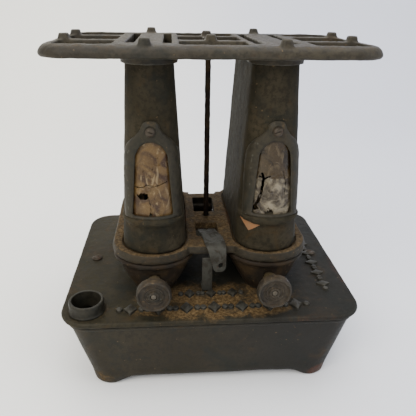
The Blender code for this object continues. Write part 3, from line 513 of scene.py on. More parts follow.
def make_looks():
    """One material for each of the record's slots that shows."""
    looks = {}
    front_rust = (((-92, -92, 4), (30, 24, 22), 0.55), ((-60, -92, 6), (60, 20, 12), 0.30))
    looks["tank_iron"] = iron(
        "tank_iron", (0.0186, 0.0154, 0.0092), (0.0254, 0.0211, 0.0129), dust=0.10, rust=0.30, rough=0.50,
        seed=3,
        spots=front_rust, side_shade=RIGHT_PAINTED_SHADE,
        red=(((92, -88, 3), (24, 20, 12), 0.50), ((-94, -88, 2), (20, 20, 12), 0.24),
             ((95, 88, 3), (20, 20, 14), 0.6), ((-95, 88, 3), (20, 20, 14), 0.5)))
    deck_spots = (
        ((0, -66, 64), (96, 40, 16), 0.70), ((0, -80, 64), (112, 24, 16), 0.70),
        ((-46, -62, 64), (52, 30, 14), 0.40),
        ((40, -62, 64), (60, 32, 14), 0.46), ((-94, -77, 64), (26, 24, 16), 0.55),
        ((-97, 0, 64), (8, 8, 8), 0.5),
        ((95, -30, 64), (16, 44, 12), 0.36), ((-66, -40, 64), (14, 50, 10), 0.26),
        ((0, -94, 62), (110, 8, 9), 0.22))
    looks["deck_iron"] = iron(
        "deck_iron", (0.0174, 0.0148, 0.0087), (0.0248, 0.0211, 0.0120), dust=0.16, rust=0.42, rough=0.54,
        gloss=0.10, seed=8,
        spots=deck_spots, side_shade=RIGHT_PAINTED_SHADE, red=(((78, -94, 60), (30, 6, 9), 0.35),
                                            ((112, -30, 62), (6, 40, 8), 0.4)))
    looks["relief_iron"] = iron("relief_iron", (0.0120, 0.0105, 0.0070), (0.0190, 0.0165, 0.0110), dust=0.0,
                                rust=0.3,
                                wear=0.6, rough=0.5, seed=8)
    looks["neck_iron"] = iron("neck_iron", (0.0136, 0.0125, 0.0087), (0.0211, 0.0188, 0.0129), dust=0.05,
                              rust=0.2,
                              wear=0.9, rough=0.42, seed=2)
    looks["cup_iron"] = iron("cup_iron", (0.0136, 0.0085, 0.0046), (0.0211, 0.0142, 0.0083), dust=0.12,
                             rust=0.75,
                             wear=0.4, rough=0.6, seed=5)
    looks["knob_iron"] = iron("knob_iron", (0.0236, 0.0182, 0.0124), (0.0372, 0.0296, 0.0202), dust=0.42,
                              rust=0.5,
                              wear=0.9, rough=0.52, seed=1)
    chimney_rims = tuple(((side * 43.4, 0, 104), (38, 76, 6.5), 0.62) for side in (-1, 1))
    looks["base_iron"] = iron(
        "base_iron", (0.0186, 0.0148, 0.0083), (0.0260, 0.0211, 0.0129), dust=0.60, rust=0.6, wear=0.7,
        rough=0.55, seed=4,
        spots=(((-66, -10, 105), (24, 70, 10), 0.6), ((0, -10, 105), (44, 84, 12), 0.62),
               ((70, -10, 105), (20, 70, 10), 0.4)), red=chimney_rims)
    shaft_foot = tuple(((side * 43.4, 0, 105), (40, 80, 9), 0.55) for side in (-1, 1))
    looks["chimney_iron"] = iron(
        "chimney_iron", (0.0201, 0.0169, 0.0100), (0.0319, 0.0262, 0.0162), dust=0.20, rust=0.45, wear=0.25,
        rough=0.64,
        gloss=0.07, grain_depth=0.09, seed=6, red=shaft_foot)
    looks["frame_iron"] = iron(
        "frame_iron", (0.0223, 0.0194, 0.0124), (0.0285, 0.0239, 0.0152), dust=0.22, rust=0.35, wear=0.7,
        rough=0.5, seed=7,
        spots=tuple(((side * 43.4, -62, 199), (14, 16, 10), 0.38) for side in (-1, 1)))
    looks["grate_iron"] = iron(
        "grate_iron", (0.0248, 0.0205, 0.0138), (0.0409, 0.0342, 0.0221), dust=0.40, rust=0.42, wear=0.9,
        rough=0.46,
        seed=9)
    looks["rod_iron"] = iron("rod_iron", (0.0087, 0.0046, 0.0032), (0.0149, 0.0080, 0.0051), dust=0.0,
                             rust=0.8, wear=0.2,
                             rough=0.7)
    looks["screw_steel"] = steel("screw_steel", (0.045, 0.036, 0.026), (0.020, 0.014, 0.008), 0.55, 0.8)
    looks["shaft_steel"] = steel("shaft_steel", (0.060, 0.052, 0.040), (0.030, 0.022, 0.013), 0.5, 0.6)
    looks["sheet_steel"] = steel("sheet_steel", (0.040, 0.039, 0.032), (0.019, 0.016, 0.011), 0.55, 0.45)
    looks["tube_brass"] = steel("tube_brass", (0.33, 0.23, 0.11), (0.12, 0.08, 0.04), 0.4, 0.1)
    # Painted shade: the gland brass is darkened to near black, as the glands sit in shade behind the knobs.
    looks["gland_brass"] = steel("gland_brass", (0.050, 0.038, 0.020), (0.026, 0.018, 0.010), 0.4, 0.1)
    looks["deflector_brass"] = steel("deflector_brass", (0.20, 0.14, 0.07), (0.03, 0.025, 0.02), 0.5, 0.2)
    return looks


def fibre_look():
    look = Look("gasket_fibre")
    flecks = look.mask(look.noise(1.2, 3, 0.6), 0.42, 0.62)
    look.bump([(look.noise(0.8, 3, 0.7), 0.08)])
    return look.coat(look.mix((0.24, 0.17, 0.09), (0.13, 0.09, 0.05), flecks), 0.9)


def cotton_look():
    """Flat woven wick: ribs along its length, charred and oily at the top."""
    look = Look("wick_cotton")
    weave = look.add("TexWave", {"wave_type": "BANDS", "bands_direction": "Y"}, Vector=look.place,
                     Scale=1 / (7.5 * MM), Distortion=0.6, Detail=2.0)
    picks = look.add("TexWave", {"wave_type": "BANDS", "bands_direction": "Z"}, Vector=look.place,
                     Scale=1 / (6.0 * MM), Distortion=0.5, Detail=2.0)
    cloth = look.both(weave.outputs[1], look.math("ADD", look.both(picks.outputs[1], 0.6), 0.4))
    colour = look.mix((0.30, 0.24, 0.16), (0.56, 0.49, 0.37), cloth)
    char = look.math("ADD", look.height(97, 106), look.both(look.noise(5, 4), 0.3))
    colour = look.mix(colour, (0.018, 0.014, 0.010), look.mask(char, 0.35, 0.9))
    look.bump([(cloth, 0.5), (look.noise(0.7, 3), 0.1)])
    look.feed(look.shader.inputs["Sheen Weight"], 0.25)
    return look.coat(colour, 0.95)


def mica_look(name, low, high, pale, haze, split=None):
    """Heat-browned mica: cloudy, scratched and split into pale flakes."""
    look = Look(name)
    cloud = look.mask(look.noise(17, 3, 0.5, 1.4), 0.38, 0.60)
    colour = look.mix(low, high, cloud)
    streaks = look.mask(look.noise(13, 4, 0.55, 2.4, stretch=(1.5, 1.0, 0.8)), 0.54, 0.66)
    colour = look.mix(colour, pale, look.both(streaks, haze))
    lines = look.mask(look.noise(7, 2, 0.4, 4.0), 0.492, 0.50)
    more = look.mask(look.noise(7, 2, 0.4, 4.0), 0.508, 0.50)
    colour = look.mix(colour, pale, look.both(look.both(lines, more), 0.5))
    rough = 0.42
    if split:
        line, silver, dark = split
        wander = look.math("ADD", look.height(line - 5, line + 5), look.both(look.noise(6, 4, 0.6, 1.0), 0.9))
        flaky = look.math("SUBTRACT", 1.0, look.mask(wander, 0.70, 0.86))
        crumple = look.mask(look.noise(12, 5, 0.55, 1.6), 0.36, 0.68)
        colour = look.mix(colour, look.mix(dark, silver, crumple), flaky)
        rough = look.blend(0.24, 0.40, flaky)
    look.bump([(look.noise(13, 4, 0.5, 1.5), 0.4), (streaks, 0.10)])
    look.feed(look.shader.inputs["Specular IOR Level"], 0.3)
    return look.coat(colour, rough)


def patch_look():
    look = Look("bare_rust")
    mottle = look.mask(look.noise(2.4, 6, 0.8), 0.38, 0.66)
    look.bump([(look.noise(1.2, 4, 0.7), 0.08)])
    return look.coat(look.mix((0.20, 0.080, 0.024), (0.15, 0.090, 0.042), mottle), 0.8)


def dress(obj, material, body=None, replaces=()):
    """Gives a piece its material, its body and the nodes that it stands for."""
    obj.data.materials.clear()
    obj.data.materials.append(material)
    for face in obj.data.polygons:
        face.material_index = 0
    if body:
        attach(obj, body)
    if replaces:
        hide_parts(*replaces)
    return obj


# ---------------------------------------------------------------- tank, deck and neck

FOOT_HEIGHT = 6.3 * MM
FOOT_SHOULDER = 18 * MM


def make_tank():
    half_top = (109.3 * MM, 90.8 * MM)
    half_low = (94.8 * MM, 88.0 * MM)
    radius = 16 * MM
    top = TANK_HIGH.z
    along = (60, 50)

    def wall(z, inset=0.0):
        share = (z - FOOT_HEIGHT) / (top - FOOT_HEIGHT)
        half = tuple(low + (high - low) * share - inset for low, high in zip(half_low, half_top))
        return ring(half, radius - inset, z, arc=12, along=along)

    def skirt(inset, z):
        return ring(grown(half_low, -inset), radius - inset, z, arc=12, along=along,
                    lift=lambda reach: FOOT_HEIGHT * ease(reach / FOOT_SHOULDER))

    edge = rounded([(7.6, 0), (1.4, 0), (0.0, 2.6)], 1.6, 4)[:-1]
    rows = [wall(FOOT_HEIGHT + 0.4 * MM, 9 * MM), wall(FOOT_HEIGHT + 0.4 * MM, 8 * MM)]
    rows += [skirt(inset * MM, z * MM) for inset, z in edge]
    rows += [wall(FOOT_HEIGHT + rise * MM) for rise in (3.6, 6, 10, 16, 23, 30, 37, 42, 45.5)]
    flare = rounded([(0, top / MM - 4.6), (0, top / MM - 3.2), (-1.2, top / MM - 2.7), (-1.2, top / MM - 0.4),
                     (0.4, top / MM), (3, top / MM)], 0.7, 3)
    rows += [wall(z * MM, inset * MM) for inset, z in flare]
    rows += [wall(z, 3 * MM) for z in (top - 8 * MM, FOOT_HEIGHT + 7 * MM)]
    rows.append(wall(FOOT_HEIGHT + 3 * MM, 6 * MM))
    return uneven(loft("tank_casting", rows), 0.35 * MM, 30 * MM, 1.3)


def raised(bm, outline, z, height, flare=0.45):
    """A low cast-in relief from a flat closed outline, standing on height z."""
    middle = sum((Vector(point) for point in outline), Vector((0, 0))) / len(outline)
    rows = []
    for share, rise in ((flare, -0.3), (flare * 0.4, 0.15), (0.0, 0.5), (-0.12, 0.85), (-0.35, 1.0)):
        spread = []
        for point in outline:
            away = Vector(point) - middle
            spread.append(middle + away * (1 + share * MM / max(away.length, 0.5 * MM)))
        rows.append([Vector((point.x, point.y, z + rise * height)) for point in spread])
    skin(bm, rows)


def leaf(centre, length, width, turn=0.0, count=20):
    """A pointed oval outline."""
    points = []
    for step in range(count):
        angle = 2 * math.pi * step / count
        x = length / 2 * math.cos(angle)
        y = width / 2 * math.sin(angle) * abs(math.sin(angle)) ** 0.5
        points.append((centre[0] + x * math.cos(turn) - y * math.sin(turn),
                       centre[1] + x * math.sin(turn) + y * math.cos(turn)))
    return points


def dot(centre, radius, count=14):
    return [(centre[0] + radius * math.cos(2 * math.pi * step / count),
             centre[1] + radius * math.sin(2 * math.pi * step / count)) for step in range(count)]


def diamond_path(centre, half_x, half_y, steps=5):
    tips = [(half_x, 0), (0, half_y), (-half_x, 0), (0, -half_y)]
    path = []
    for index, tip in enumerate(tips):
        after = tips[(index + 1) % 4]
        for step in range(steps):
            share = step / steps
            path.append((centre[0] + tip[0] + (after[0] - tip[0]) * share,
                         centre[1] + tip[1] + (after[1] - tip[1]) * share))
    return path


def make_ornament():
    """Generic cast relief on the deck: a band of lozenges and leaves."""
    bm = bmesh.new()
    z, high = DECK_TOP - 0.1 * MM, 1.6 * MM

    def motif(centre, scale, turn):
        def spot(x, y):
            x, y = x * scale * MM, y * scale * MM
            return (centre[0] + x * math.cos(turn) - y * math.sin(turn),
                    centre[1] + x * math.sin(turn) + y * math.cos(turn))

        diamond = [spot(x / MM, y / MM) for x, y in diamond_path((0, 0), 5.2 * MM, 7.2 * MM)]
        raised(bm, diamond, z, high)
        for end in (-1, 1):
            raised(bm, leaf(spot(end * 8.9, 0), 5.4 * scale * MM, 5.6 * scale * MM, turn), z, high)

    for index in range(7):
        motif(((-62 + 21 * index) * MM, -79 * MM), 0.94, 0)
    for index in range(3):
        motif(((-17 + 17 * index) * MM, -60.5 * MM), 0.78, 0)
    for index in range(5):
        motif((93.5 * MM, (-52 + 17 * index) * MM), 0.8, math.radians(90))
    return mesh_object("ornament", bm, 50)


def make_deck():
    half = (DECK_HIGH.x, DECK_HIGH.y)
    thick = DECK_TOP - DECK_LOW.z
    edge = rounded([(4, 0), (1.2, 0), (0, 1.4), (0, 3.4), (0.9, 4.9), (5, 4.9)], 1.5, 5)
    rows = [ring(grown(half, -inset * MM), (DECK_RADIUS - inset) * MM, DECK_LOW.z + up * MM, arc=14,
                 along=(30, 24))
            for inset, up in edge]
    deck = loft("deck_casting", rows)
    tools = [cylinder("neck_hole", 12.4 * MM, 12 * MM, (NECK_AT.x, NECK_AT.y, DECK_TOP))]
    for name, _ in SIDES:
        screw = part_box("deck_screw_" + name)
        middle = (screw[0] + screw[1]) / 2
        tools.append(cylinder("screw_hole_" + name, 2.2 * MM, 4 * thick, (middle.x, middle.y, DECK_TOP)))
        low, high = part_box("wick_tube_" + name)
        slot = ring(((high.x - low.x) / 2 + 0.8 * MM, (high.y - low.y) / 2 + 1 * MM), 0.8 * MM, 0,
                    ((low.x + high.x) / 2, 0), 4)
        tools.append(loft("wick_slot_" + name, [[point + Vector((0, 0, z)) for point in slot]
                                                for z in (DECK_LOW.z - 5 * MM, DECK_TOP + 5 * MM)]))
    cut(deck, *tools)
    cast(deck, 0.9 * MM, 3)
    return uneven(deck, 0.25 * MM, 14 * MM, 2.9)


def make_neck():
    rise = NECK_HIGH.z - DECK_TOP
    outline = rounded([(10.6, rise / MM - 0.2), (11.3, rise / MM), (12.6, rise / MM - 0.1),
                       (13.0, rise / MM - 1.6),
                       (13.0, 1.9), (13.55, 0.9), (13.55, 0.3), (12.1, 0.3), (12.1, -4.6), (10.6, -4.6)],
                      0.55, 4, closed=True)
    neck = lathe("neck_casting", [(r * MM, z * MM) for r, z in outline], (NECK_AT.x, NECK_AT.y, DECK_TOP),
                 steps=96)
    return uneven(neck, 0.25 * MM, 9 * MM, 4.1)


def screw(name, node, turn, head, rise, slot_turn, length=5 * MM):
    """A domed slotted head over its shank; the head's top is the node's own end."""
    low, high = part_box(node)
    if turn is None:
        at = ((low.x + high.x) / 2, (low.y + high.y) / 2, high.z - rise)
        frame_turn = Matrix.Identity(4)
    else:
        at = ((low.x + high.x) / 2, low.y + rise, (low.z + high.z) / 2)
        frame_turn = turn
    dome = rounded([(0, rise), (head * 0.62, rise * 0.97), (head * 0.97, rise * 0.55), (head, 0),
                    (head * 0.42, 0),
                    (head * 0.42, -length), (0, -length)], 0.4 * MM, 4)
    body = lathe(name, dome, at, frame_turn, 40)
    blade = plate("slot", [(-2 * head, -head * 0.13), (2 * head, -head * 0.13), (2 * head, head * 0.13),
                           (-2 * head, head * 0.13)], rise)
    placed = Matrix.Translation(at) @ frame_turn @ Matrix.Rotation(slot_turn, 4, "Z")
    blade.data.transform(placed @ Matrix.Translation((0, 0, rise * 0.98)))
    return cut(body, blade)


# ---------------------------------------------------------------- burners and knobs


def make_cup(name, side):
    low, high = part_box("burner_cup_" + name)
    centre = ((low.x + high.x) / 2, 0)
    half = ((high.x - low.x) / 2, high.y)
    foot_half = (14.5 * MM, 58 * MM)
    foot, top = low.z, high.z
    bowl_top = (half[0] - 2.4 * MM, half[1] - 2.4 * MM)

    def level(z, inset=0.0):
        share = min(1.0, (z - foot) / (top - 4.6 * MM - foot))
        bulge = 1.2 * MM * math.sin(math.pi * share)
        row = tuple(a + (b - a) * share + bulge - inset for a, b in zip(foot_half, bowl_top))
        return oval(row, z, centre, 20, 12)

    rows = [level(foot + rise * MM) for rise in (0, 3, 7, 11, 15, 19, 23, 26.2)]
    rim = rounded([(2.2, -5.2), (0.9, -4.4), (0, -3.3), (0, -1.2), (1.4, 0), (4.2, 0)], 0.8, 4)
    rows += [oval(grown(half, -inset * MM), top + z * MM, centre, 20, 12) for inset, z in rim]
    wall = 2.8 * MM
    rows += [level(foot + rise * MM, wall) for rise in (26.2, 20, 13, 6, 0)]
    cup = loft("cup_casting_" + name, rows, closed=True)
    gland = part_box("shaft_gland_" + name)
    axis = (gland[0] + gland[1]) / 2
    cut(cup, cylinder("hole", 3.7 * MM, 26 * MM, (axis.x, -64 * MM, axis.z), TO_FRONT))
    return uneven(cup, 0.3 * MM, 12 * MM, side * 2.2)


def make_knob(name, side):
    """Turned and handled: a rolled rim, a sunk ring, a small boss and a riveted shaft end."""
    low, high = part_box("wick_knob_" + name)
    at = ((low.x + high.x) / 2, high.y, (low.z + high.z) / 2)
    deep = (high.y - low.y) / MM
    outline = rounded([
        (2.3, 0), (10.9, 0), (12.5, 0.9), (13.0, 2.4), (13.0, deep - 2.6), (12.5, deep - 0.9), (11.4, deep),
        (10.4, deep - 0.9), (9.8, deep - 2.4), (7.7, deep - 2.5), (7.1, deep - 1.6), (6.4, deep - 1.7),
        (5.9, deep - 2.6), (4.6, deep - 2.5), (4.1, deep - 1.1), (3.2, deep - 0.7), (2.3, deep - 0.7)],
        0.9, 4, closed=True)
    knob = lathe("knob_casting_" + name, [(r * MM, z * MM) for r, z in outline], at, TO_FRONT, 96)
    return uneven(knob, 0.45 * MM, 4.5 * MM, side * 5.7)


def make_wick(name):
    """A woven strip: slightly waved faces, rounded edges and a burnt, ragged top."""
    low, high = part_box("wick_" + name)
    middle_x = (low.x + high.x) / 2
    half = ((high.x - low.x) / 2, (high.y - low.y) / 2)
    rows = []
    for step in range(61):
        share = step / 60
        z = low.z + (high.z - low.z) * share
        inset = 0.35 * MM * (1 if step in (0, 60) else 0) + 0.12 * MM * (1 + math.sin(z / (1.1 * MM)))
        rows.append(ring((half[0] - inset, half[1] - inset), 1.1 * MM, z, (middle_x, 0), 3, (1, 60)))
    burnt = [point + Vector((0, 0, -1.3 * MM * abs(noise.noise(point / (3 * MM))))) for point in rows[-1]]
    rows = rows[:-1] + [burnt]
    return loft("woven_wick_" + name, rows)


# ---------------------------------------------------------------- chimney base and chimneys

def make_base():
    half = (33 * MM, BASE_HIGH.y if BASE_HIGH.y < 73 * MM else 72.6 * MM)
    plate_low = BASE_TOP - 7.5 * MM
    edge = rounded([(3.4, 0), (0.9, 0), (0, 1.4), (0, 3.4), (0.7, 4.6), (0.7, 5.4), (1.6, 7.5), (5, 7.5)],
                   1.1, 3)
    base = loft("base_casting", [oval(grown(half, -inset * MM), plate_low + up * MM, (-BURNER_X, 0))
                                 for inset, up in edge])
    right = loft("right", [oval(grown(half, -inset * MM), plate_low + up * MM, (BURNER_X, 0)) for inset,
                           up in edge])
    bridge = loft("bridge", [ring(grown((24 * MM, 56 * MM), -inset * MM), 3 * MM,
                                  plate_low + (0.2 + up * 0.94) * MM,
                                  (0, -2 * MM), 4) for inset, up in edge])
    outline = [(50, 98.2), (50, 103.2), (59, 103.0), (66, 99.5), (73, 91.5), (79.6, 84.0)]
    outline = [(y * MM, z * MM) for y, z in outline]
    for step in range(13):
        angle = math.radians(30 - 200 * step / 12)
        outline.append((PIN_AT.y + 4.5 * MM * math.cos(angle), PIN_AT.z + 4.5 * MM * math.sin(angle)))
    outline += [(70.5 * MM, 87 * MM), (63.5 * MM, 96.4 * MM), (61.5 * MM, 98.2 * MM)]
    lugs = [plate("lug_" + name, outline, 5 * MM, (side * 15.4 * MM, 0, 0), SIDE_VIEW) for name,
            side in SIDES]
    join(base, right, bridge, *lugs)
    tools = []
    seat_low = BASE_TOP - 2 * MM
    for name, side in SIDES:
        centre = (side * CHIMNEY_X, 0)
        levels = (((20.4, 61), plate_low - 5 * MM), ((20.4, 61), seat_low), ((25.1, 67.3), seat_low),
                  ((25.1, 67.3), BASE_TOP + 5 * MM))
        tools.append(loft("flue_" + name, [oval((x * MM, y * MM), z, centre) for (x, y), z in levels]))
    for slot_half, centre in (((9, 16), (-1, 25)), ((9, 12), (-1.5, -27))):
        tools.append(loft("slot", [ring((slot_half[0] * MM, slot_half[1] * MM), 2 * MM, z,
                                        (centre[0] * MM, centre[1] * MM), 5)
                                   for z in (plate_low - 5 * MM, BASE_TOP + 5 * MM)]))
    tools.append(cylinder("rod_hole", 2.7 * MM, 30 * MM, (ROD_AT.x, ROD_AT.y, BASE_TOP)))
    tools.append(cylinder("pin_hole", 2.3 * MM, 60 * MM, tuple(PIN_AT), ALONG_X))
    cut(base, *tools)
    cast(base, 0.75 * MM, 3)
    return uneven(base, 0.35 * MM, 8 * MM, 3.3)


def chimney_half(z, inset=0.0):
    share = (z - CHIMNEY_LOW) / (CHIMNEY_TOP - CHIMNEY_LOW)
    return tuple(low + (top - low) * share - inset for low, top in zip(CHIMNEY_HALF_LOW, CHIMNEY_HALF_TOP))


def on_front(side, across, z, proud):
    """A point on a chimney's round front: across from its middle, at height z."""
    radius, half_y = chimney_half(z)
    reach = radius + proud
    across = max(-0.995 * reach, min(0.995 * reach, across))
    return Vector((side * CHIMNEY_X + across, -half_y + radius - math.sqrt(reach ** 2 - across ** 2), z))


WINDOW_FOOT, WINDOW_SHOULDER, WINDOW_CROWN = 134.5 * MM, 174 * MM, 187.5 * MM


def window_half(z, grow=0.0):
    """Half of the window opening's width at a height."""
    if z > WINDOW_SHOULDER:
        rise = (z - WINDOW_SHOULDER) / (WINDOW_CROWN - WINDOW_SHOULDER + grow)
        return (11.2 * MM + grow) * math.sqrt(max(0.0, 1 - min(1.0, rise) ** 2))
    share = (z - WINDOW_FOOT) / (WINDOW_SHOULDER - WINDOW_FOOT)
    return 14.2 * MM - 3.0 * MM * share + grow


def window_edge(grow, steps=14):
    """The opening's right half, bottom to crown, as (across, height)."""
    points = [(window_half(z, grow), z) for z in
              [WINDOW_FOOT - grow + (WINDOW_SHOULDER - WINDOW_FOOT + grow) * step / 8 for step in range(8)]]
    for step in range(steps + 1):
        angle = math.pi / 2 * step / steps
        points.append(((11.2 * MM + grow) * math.cos(angle),
                       WINDOW_SHOULDER + (WINDOW_CROWN - WINDOW_SHOULDER + grow) * math.sin(angle)))
    return points


def make_chimney(name, side):
    centre = (side * CHIMNEY_X, 0)
    levels = [CHIMNEY_LOW + (CHIMNEY_TOP - CHIMNEY_LOW) * step / 6 for step in range(7)]
    rows = [oval(chimney_half(z), z, centre) for z in levels]
    rows += [oval(chimney_half(z, 2.8 * MM), z, centre) for z in reversed(levels)]
    chimney = loft("chimney_casting_" + name, rows, closed=True)
    section = rounded([(-0.8, 126.0), (3.2, 126.0), (5.3, 127.8), (5.5, 131.2), (4.0, 132.6), (-0.8, 132.6)],
                      1.1, 4, closed=True)
    sill_rows = []
    for step in range(33):
        share = 2 * step / 32 - 1
        across = 21 * MM * share
        thin = max(0.16, math.sqrt(1 - abs(share) ** 3.2))
        sill_rows.append([on_front(side, across + proud * MM * across / (24 * MM),
                                   (129.8 + (z - 129.8) * thin) * MM,
                                   (proud if proud < 0 else proud * (0.02 + 0.98 * thin)) * MM)
                          for proud, z in section])
    join(chimney, loft("sill", sill_rows))
    edge = window_edge(-1.0 * MM)
    outline = edge + [(-across, z) for across, z in reversed(edge[:-1])]
    cut(chimney, plate("hole", outline, 40 * MM, (side * CHIMNEY_X, -62 * MM, 0), TO_FRONT))
    cast(chimney, 0.9 * MM, 18)
    return uneven(chimney, 0.3 * MM, 16 * MM, side * 7.7)


def make_frame(name, side):
    """The arched window frame: a half-round moulding that follows the chimney's curve."""
    outer = ((21.0, 131.5), (20.9, 141), (20.8, 152), (20.5, 162), (20.0, 172), (18.9, 180.5), (15.6, 187.2),
             (10.4, 192.2), (7.0, 196.6), (5.4, 200.4), (3.0, 202.0), (0, 202.4))
    edge = window_edge(0.0)
    spacing = [0, 0.09, 0.20, 0.29, 0.38, 0.52, 0.66, 0.77, 0.85, 0.91, 0.96, 1.0]
    inner = [edge[round(share * (len(edge) - 1))] for share in spacing]
    outer = blend_points([(a * MM, z * MM) for a, z in outer], 6)
    inner = blend_points(inner, 6)
    half = list(zip(outer, inner))
    left = [(Vector((-o.x, o.y)), Vector((-i.x, i.y))) for o, i in reversed(half[:-1])]
    foot = []
    for step in range(1, 24):
        share = -1 + 2 * step / 24
        foot.append((Vector((share * 21 * MM, 131.5 * MM)), Vector((share * 14.2 * MM, 134.5 * MM))))
    back = 1.2 * MM
    section = [(0.0, back)]
    section += [(0.5 - 0.5 * math.cos(math.pi * t / 12), back + 2.3 * MM * math.sin(math.pi * t / 12) ** 0.7)
                for t in range(1, 12)]
    section += [(1.0, back), (0.75, back), (0.5, back), (0.25, back)]
    rows = []
    for out, into in half + left + foot:
        row = []
        for share, proud in section:
            spot = out.lerp(into, share)
            row.append(on_front(side, spot.x, spot.y, proud))
        rows.append(row)
    moulding = loft("frame_casting_" + name, rows, closed=True, sharp=60)
    middle = (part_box("window_screw_" + name)[0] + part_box("window_screw_" + name)[1]) / 2
    boss_at = on_front(side, 0, middle.z, 0.8 * MM)
    boss = lathe("boss", rounded([(0, 2.6 * MM), (4.9 * MM, 2.6 * MM), (5.6 * MM, 0), (0, 0)], 0.8 * MM, 4),
                 (boss_at.x, boss_at.y, middle.z), TO_FRONT, 48)
    join(moulding, boss)
    cast(moulding, 0.45 * MM, 3)
    return uneven(moulding, 0.2 * MM, 7 * MM, side * 1.9)


# ---------------------------------------------------------------- mica

def near_path(spot, path):
    """The distance from a flat point to a polyline."""
    best = 1e9
    for one, two in zip(path, path[1:]):
        one, two = Vector(one), Vector(two)
        run = two - one
        share = max(0.0, min(1.0, (spot - one).dot(run) / run.length_squared))
        best = min(best, (spot - one - run * share).length)
    return best


# Places are (across, up) as shares of the pane, from -1 to 1 and from 0 to 1; widths are in millimetres.
PANE_REACH = 14 * MM
MICA = {
    "left": {
        "cracks": (([(-1.1, 0.43), (-0.75, 0.40), (-0.45, 0.405), (-0.25, 0.44), (0.05, 0.415), (0.35, 0.43),
                     (0.75, 0.47)], 0.30), ([(-0.22, 0.30), (-0.1, 0.18), (-0.06, 0.02)], 0.18)),
        "holes": (((-0.42, 0.29), (0.26, 0.045)), ((-0.10, 0.04), (0.06, 0.03))),
        "lift": (((-0.52, 0.345), (0.38, 0.055), 0.9),),
        "crumple": (0.35, 0.35),
    },
    "right": {
        "cracks": (([(-0.60, 0.56), (-0.52, 0.50), (-0.56, 0.34), (-0.66, 0.20), (-0.80, 0.12)], 1.15),
                   ([(-0.72, 0.52), (-0.45, 0.50), (-0.22, 0.53)], 0.7),
                   ([(0.45, 0.60), (0.62, 0.44), (0.55, 0.28)], 0.25)),
        "holes": (((-0.16, 0.045), (0.20, 0.06)), ((-0.84, 0.10), (0.20, 0.035))),
        "lift": (((-0.55, 0.03), (0.30, 0.04), 1.0), ((0.1, 0.40), (0.5, 0.10), 0.8)),
        "crumple": (0.12, 1.0),
    },
}


def make_mica(name, side):
    """A split, heat-crumpled sheet: real cracks and holes in it, and lifted flakes on it."""
    form = MICA[name]
    low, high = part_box("mica_pane_" + name)
    across_steps, up_steps = 84, 150
    bm = bmesh.new()
    grid = []
    for j in range(up_steps + 1):
        v = j / up_steps
        z = low.z + (high.z - low.z) * v
        half = max(0.4 * MM, window_half(z, 2.0 * MM))
        row = []
        for i in range(across_steps + 1):
            u = 2 * i / across_steps - 1
            across = u * half
            spot = Vector((across, 0, z)) / (4.5 * MM)
            rumple = form["crumple"][1] if v < 0.56 else form["crumple"][0]
            if name == "right":
                rumple = form["crumple"][0] + (form["crumple"][1] - form["crumple"][0]) * ease((0.60 - v) / 0.1)
            wave = abs(noise.fractal(spot + Vector((side * 9, 0, 0)), 0.9, 2.1, 4)) * 1.3
            fold = abs(noise.noise(spot * 0.8 + Vector((0, 3, side))))
            proud = 0.35 * MM + 0.45 * MM * rumple * min(1.0, wave + 0.6 * fold)
            for centre, reach, rise in form["lift"]:
                away = ((u - centre[0]) / reach[0]) ** 2 + ((v - centre[1]) / reach[1]) ** 2
                proud += 0.8 * MM * rise * ease(1 - away)
            row.append(bm.verts.new(on_front(side, across, z, min(proud, 2.2 * MM))))
        grid.append(row)
    for j in range(up_steps):
        for i in range(across_steps):
            u, v = 2 * (i + 0.5) / across_steps - 1, (j + 0.5) / up_steps
            z = low.z + (high.z - low.z) * v
            flat = Vector((u * PANE_REACH, z - low.z))
            jag = 0.35 * noise.noise(Vector((flat.x, flat.y, side * MM)) / (1.4 * MM))
            gone = False
            for path, width in form["cracks"]:
                line = [(a * PANE_REACH, b * (high.z - low.z)) for a, b in path]
                gone = gone or near_path(flat, line) < width * MM * (0.75 + jag)
            for centre, reach in form["holes"]:
                away = math.hypot((u - centre[0]) / reach[0], (v - centre[1]) / reach[1])
                gone = gone or away < 1 + 1.2 * jag
            if not gone:
                bm.faces.new((grid[j][i], grid[j][i + 1], grid[j + 1][i + 1], grid[j + 1][i]))
    bmesh.ops.delete(bm, geom=[vertex for vertex in bm.verts if not vertex.link_faces], context="VERTS")
    sheet = mesh_object("mica_sheet_" + name, bm, 30)
    solid = sheet.modifiers.new("thickness", "SOLIDIFY")
    solid.thickness = 0.16 * MM
    solid.offset = -1
    settle(sheet)
    return sheet


def make_flakes(name, side, count, reach_v, seed):
    """Small curled flakes that stand off the torn sheet."""
    rng = random.Random(seed)
    low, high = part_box("mica_pane_" + name)
    bm = bmesh.new()
    for _ in range(count):
        u = rng.uniform(-0.82, 0.82)
        v = rng.uniform(*reach_v)
        z = low.z + (high.z - low.z) * v
        middle = on_front(side, u * (window_half(z) - 1.5 * MM), z, 1.05 * MM)
        size = rng.uniform(0.9, 2.6) * MM
        corners = rng.randint(5, 7)
        tilt = Matrix.Rotation(rng.uniform(-0.55, 0.55), 4, "X") @ Matrix.Rotation(rng.uniform(-0.5, 0.5), 4,
                                                                                   "Z")
        layers = []
        for depth in (0.0, 0.09 * MM):
            layer = []
            for corner in range(corners):
                angle = 2 * math.pi * corner / corners
                reach = size * (0.55 + 0.45 * math.sin(3.1 * corner + seed + u * 9))
                curl = 0.22 * MM * math.cos(angle)
                spot = Vector((reach * math.cos(angle), depth + curl, 1.3 * reach * math.sin(angle)))
                layer.append(middle + (tilt @ spot))
            layers.append(layer)
        skin(bm, layers)
    return mesh_object("mica_flakes_" + name, bm, 20)


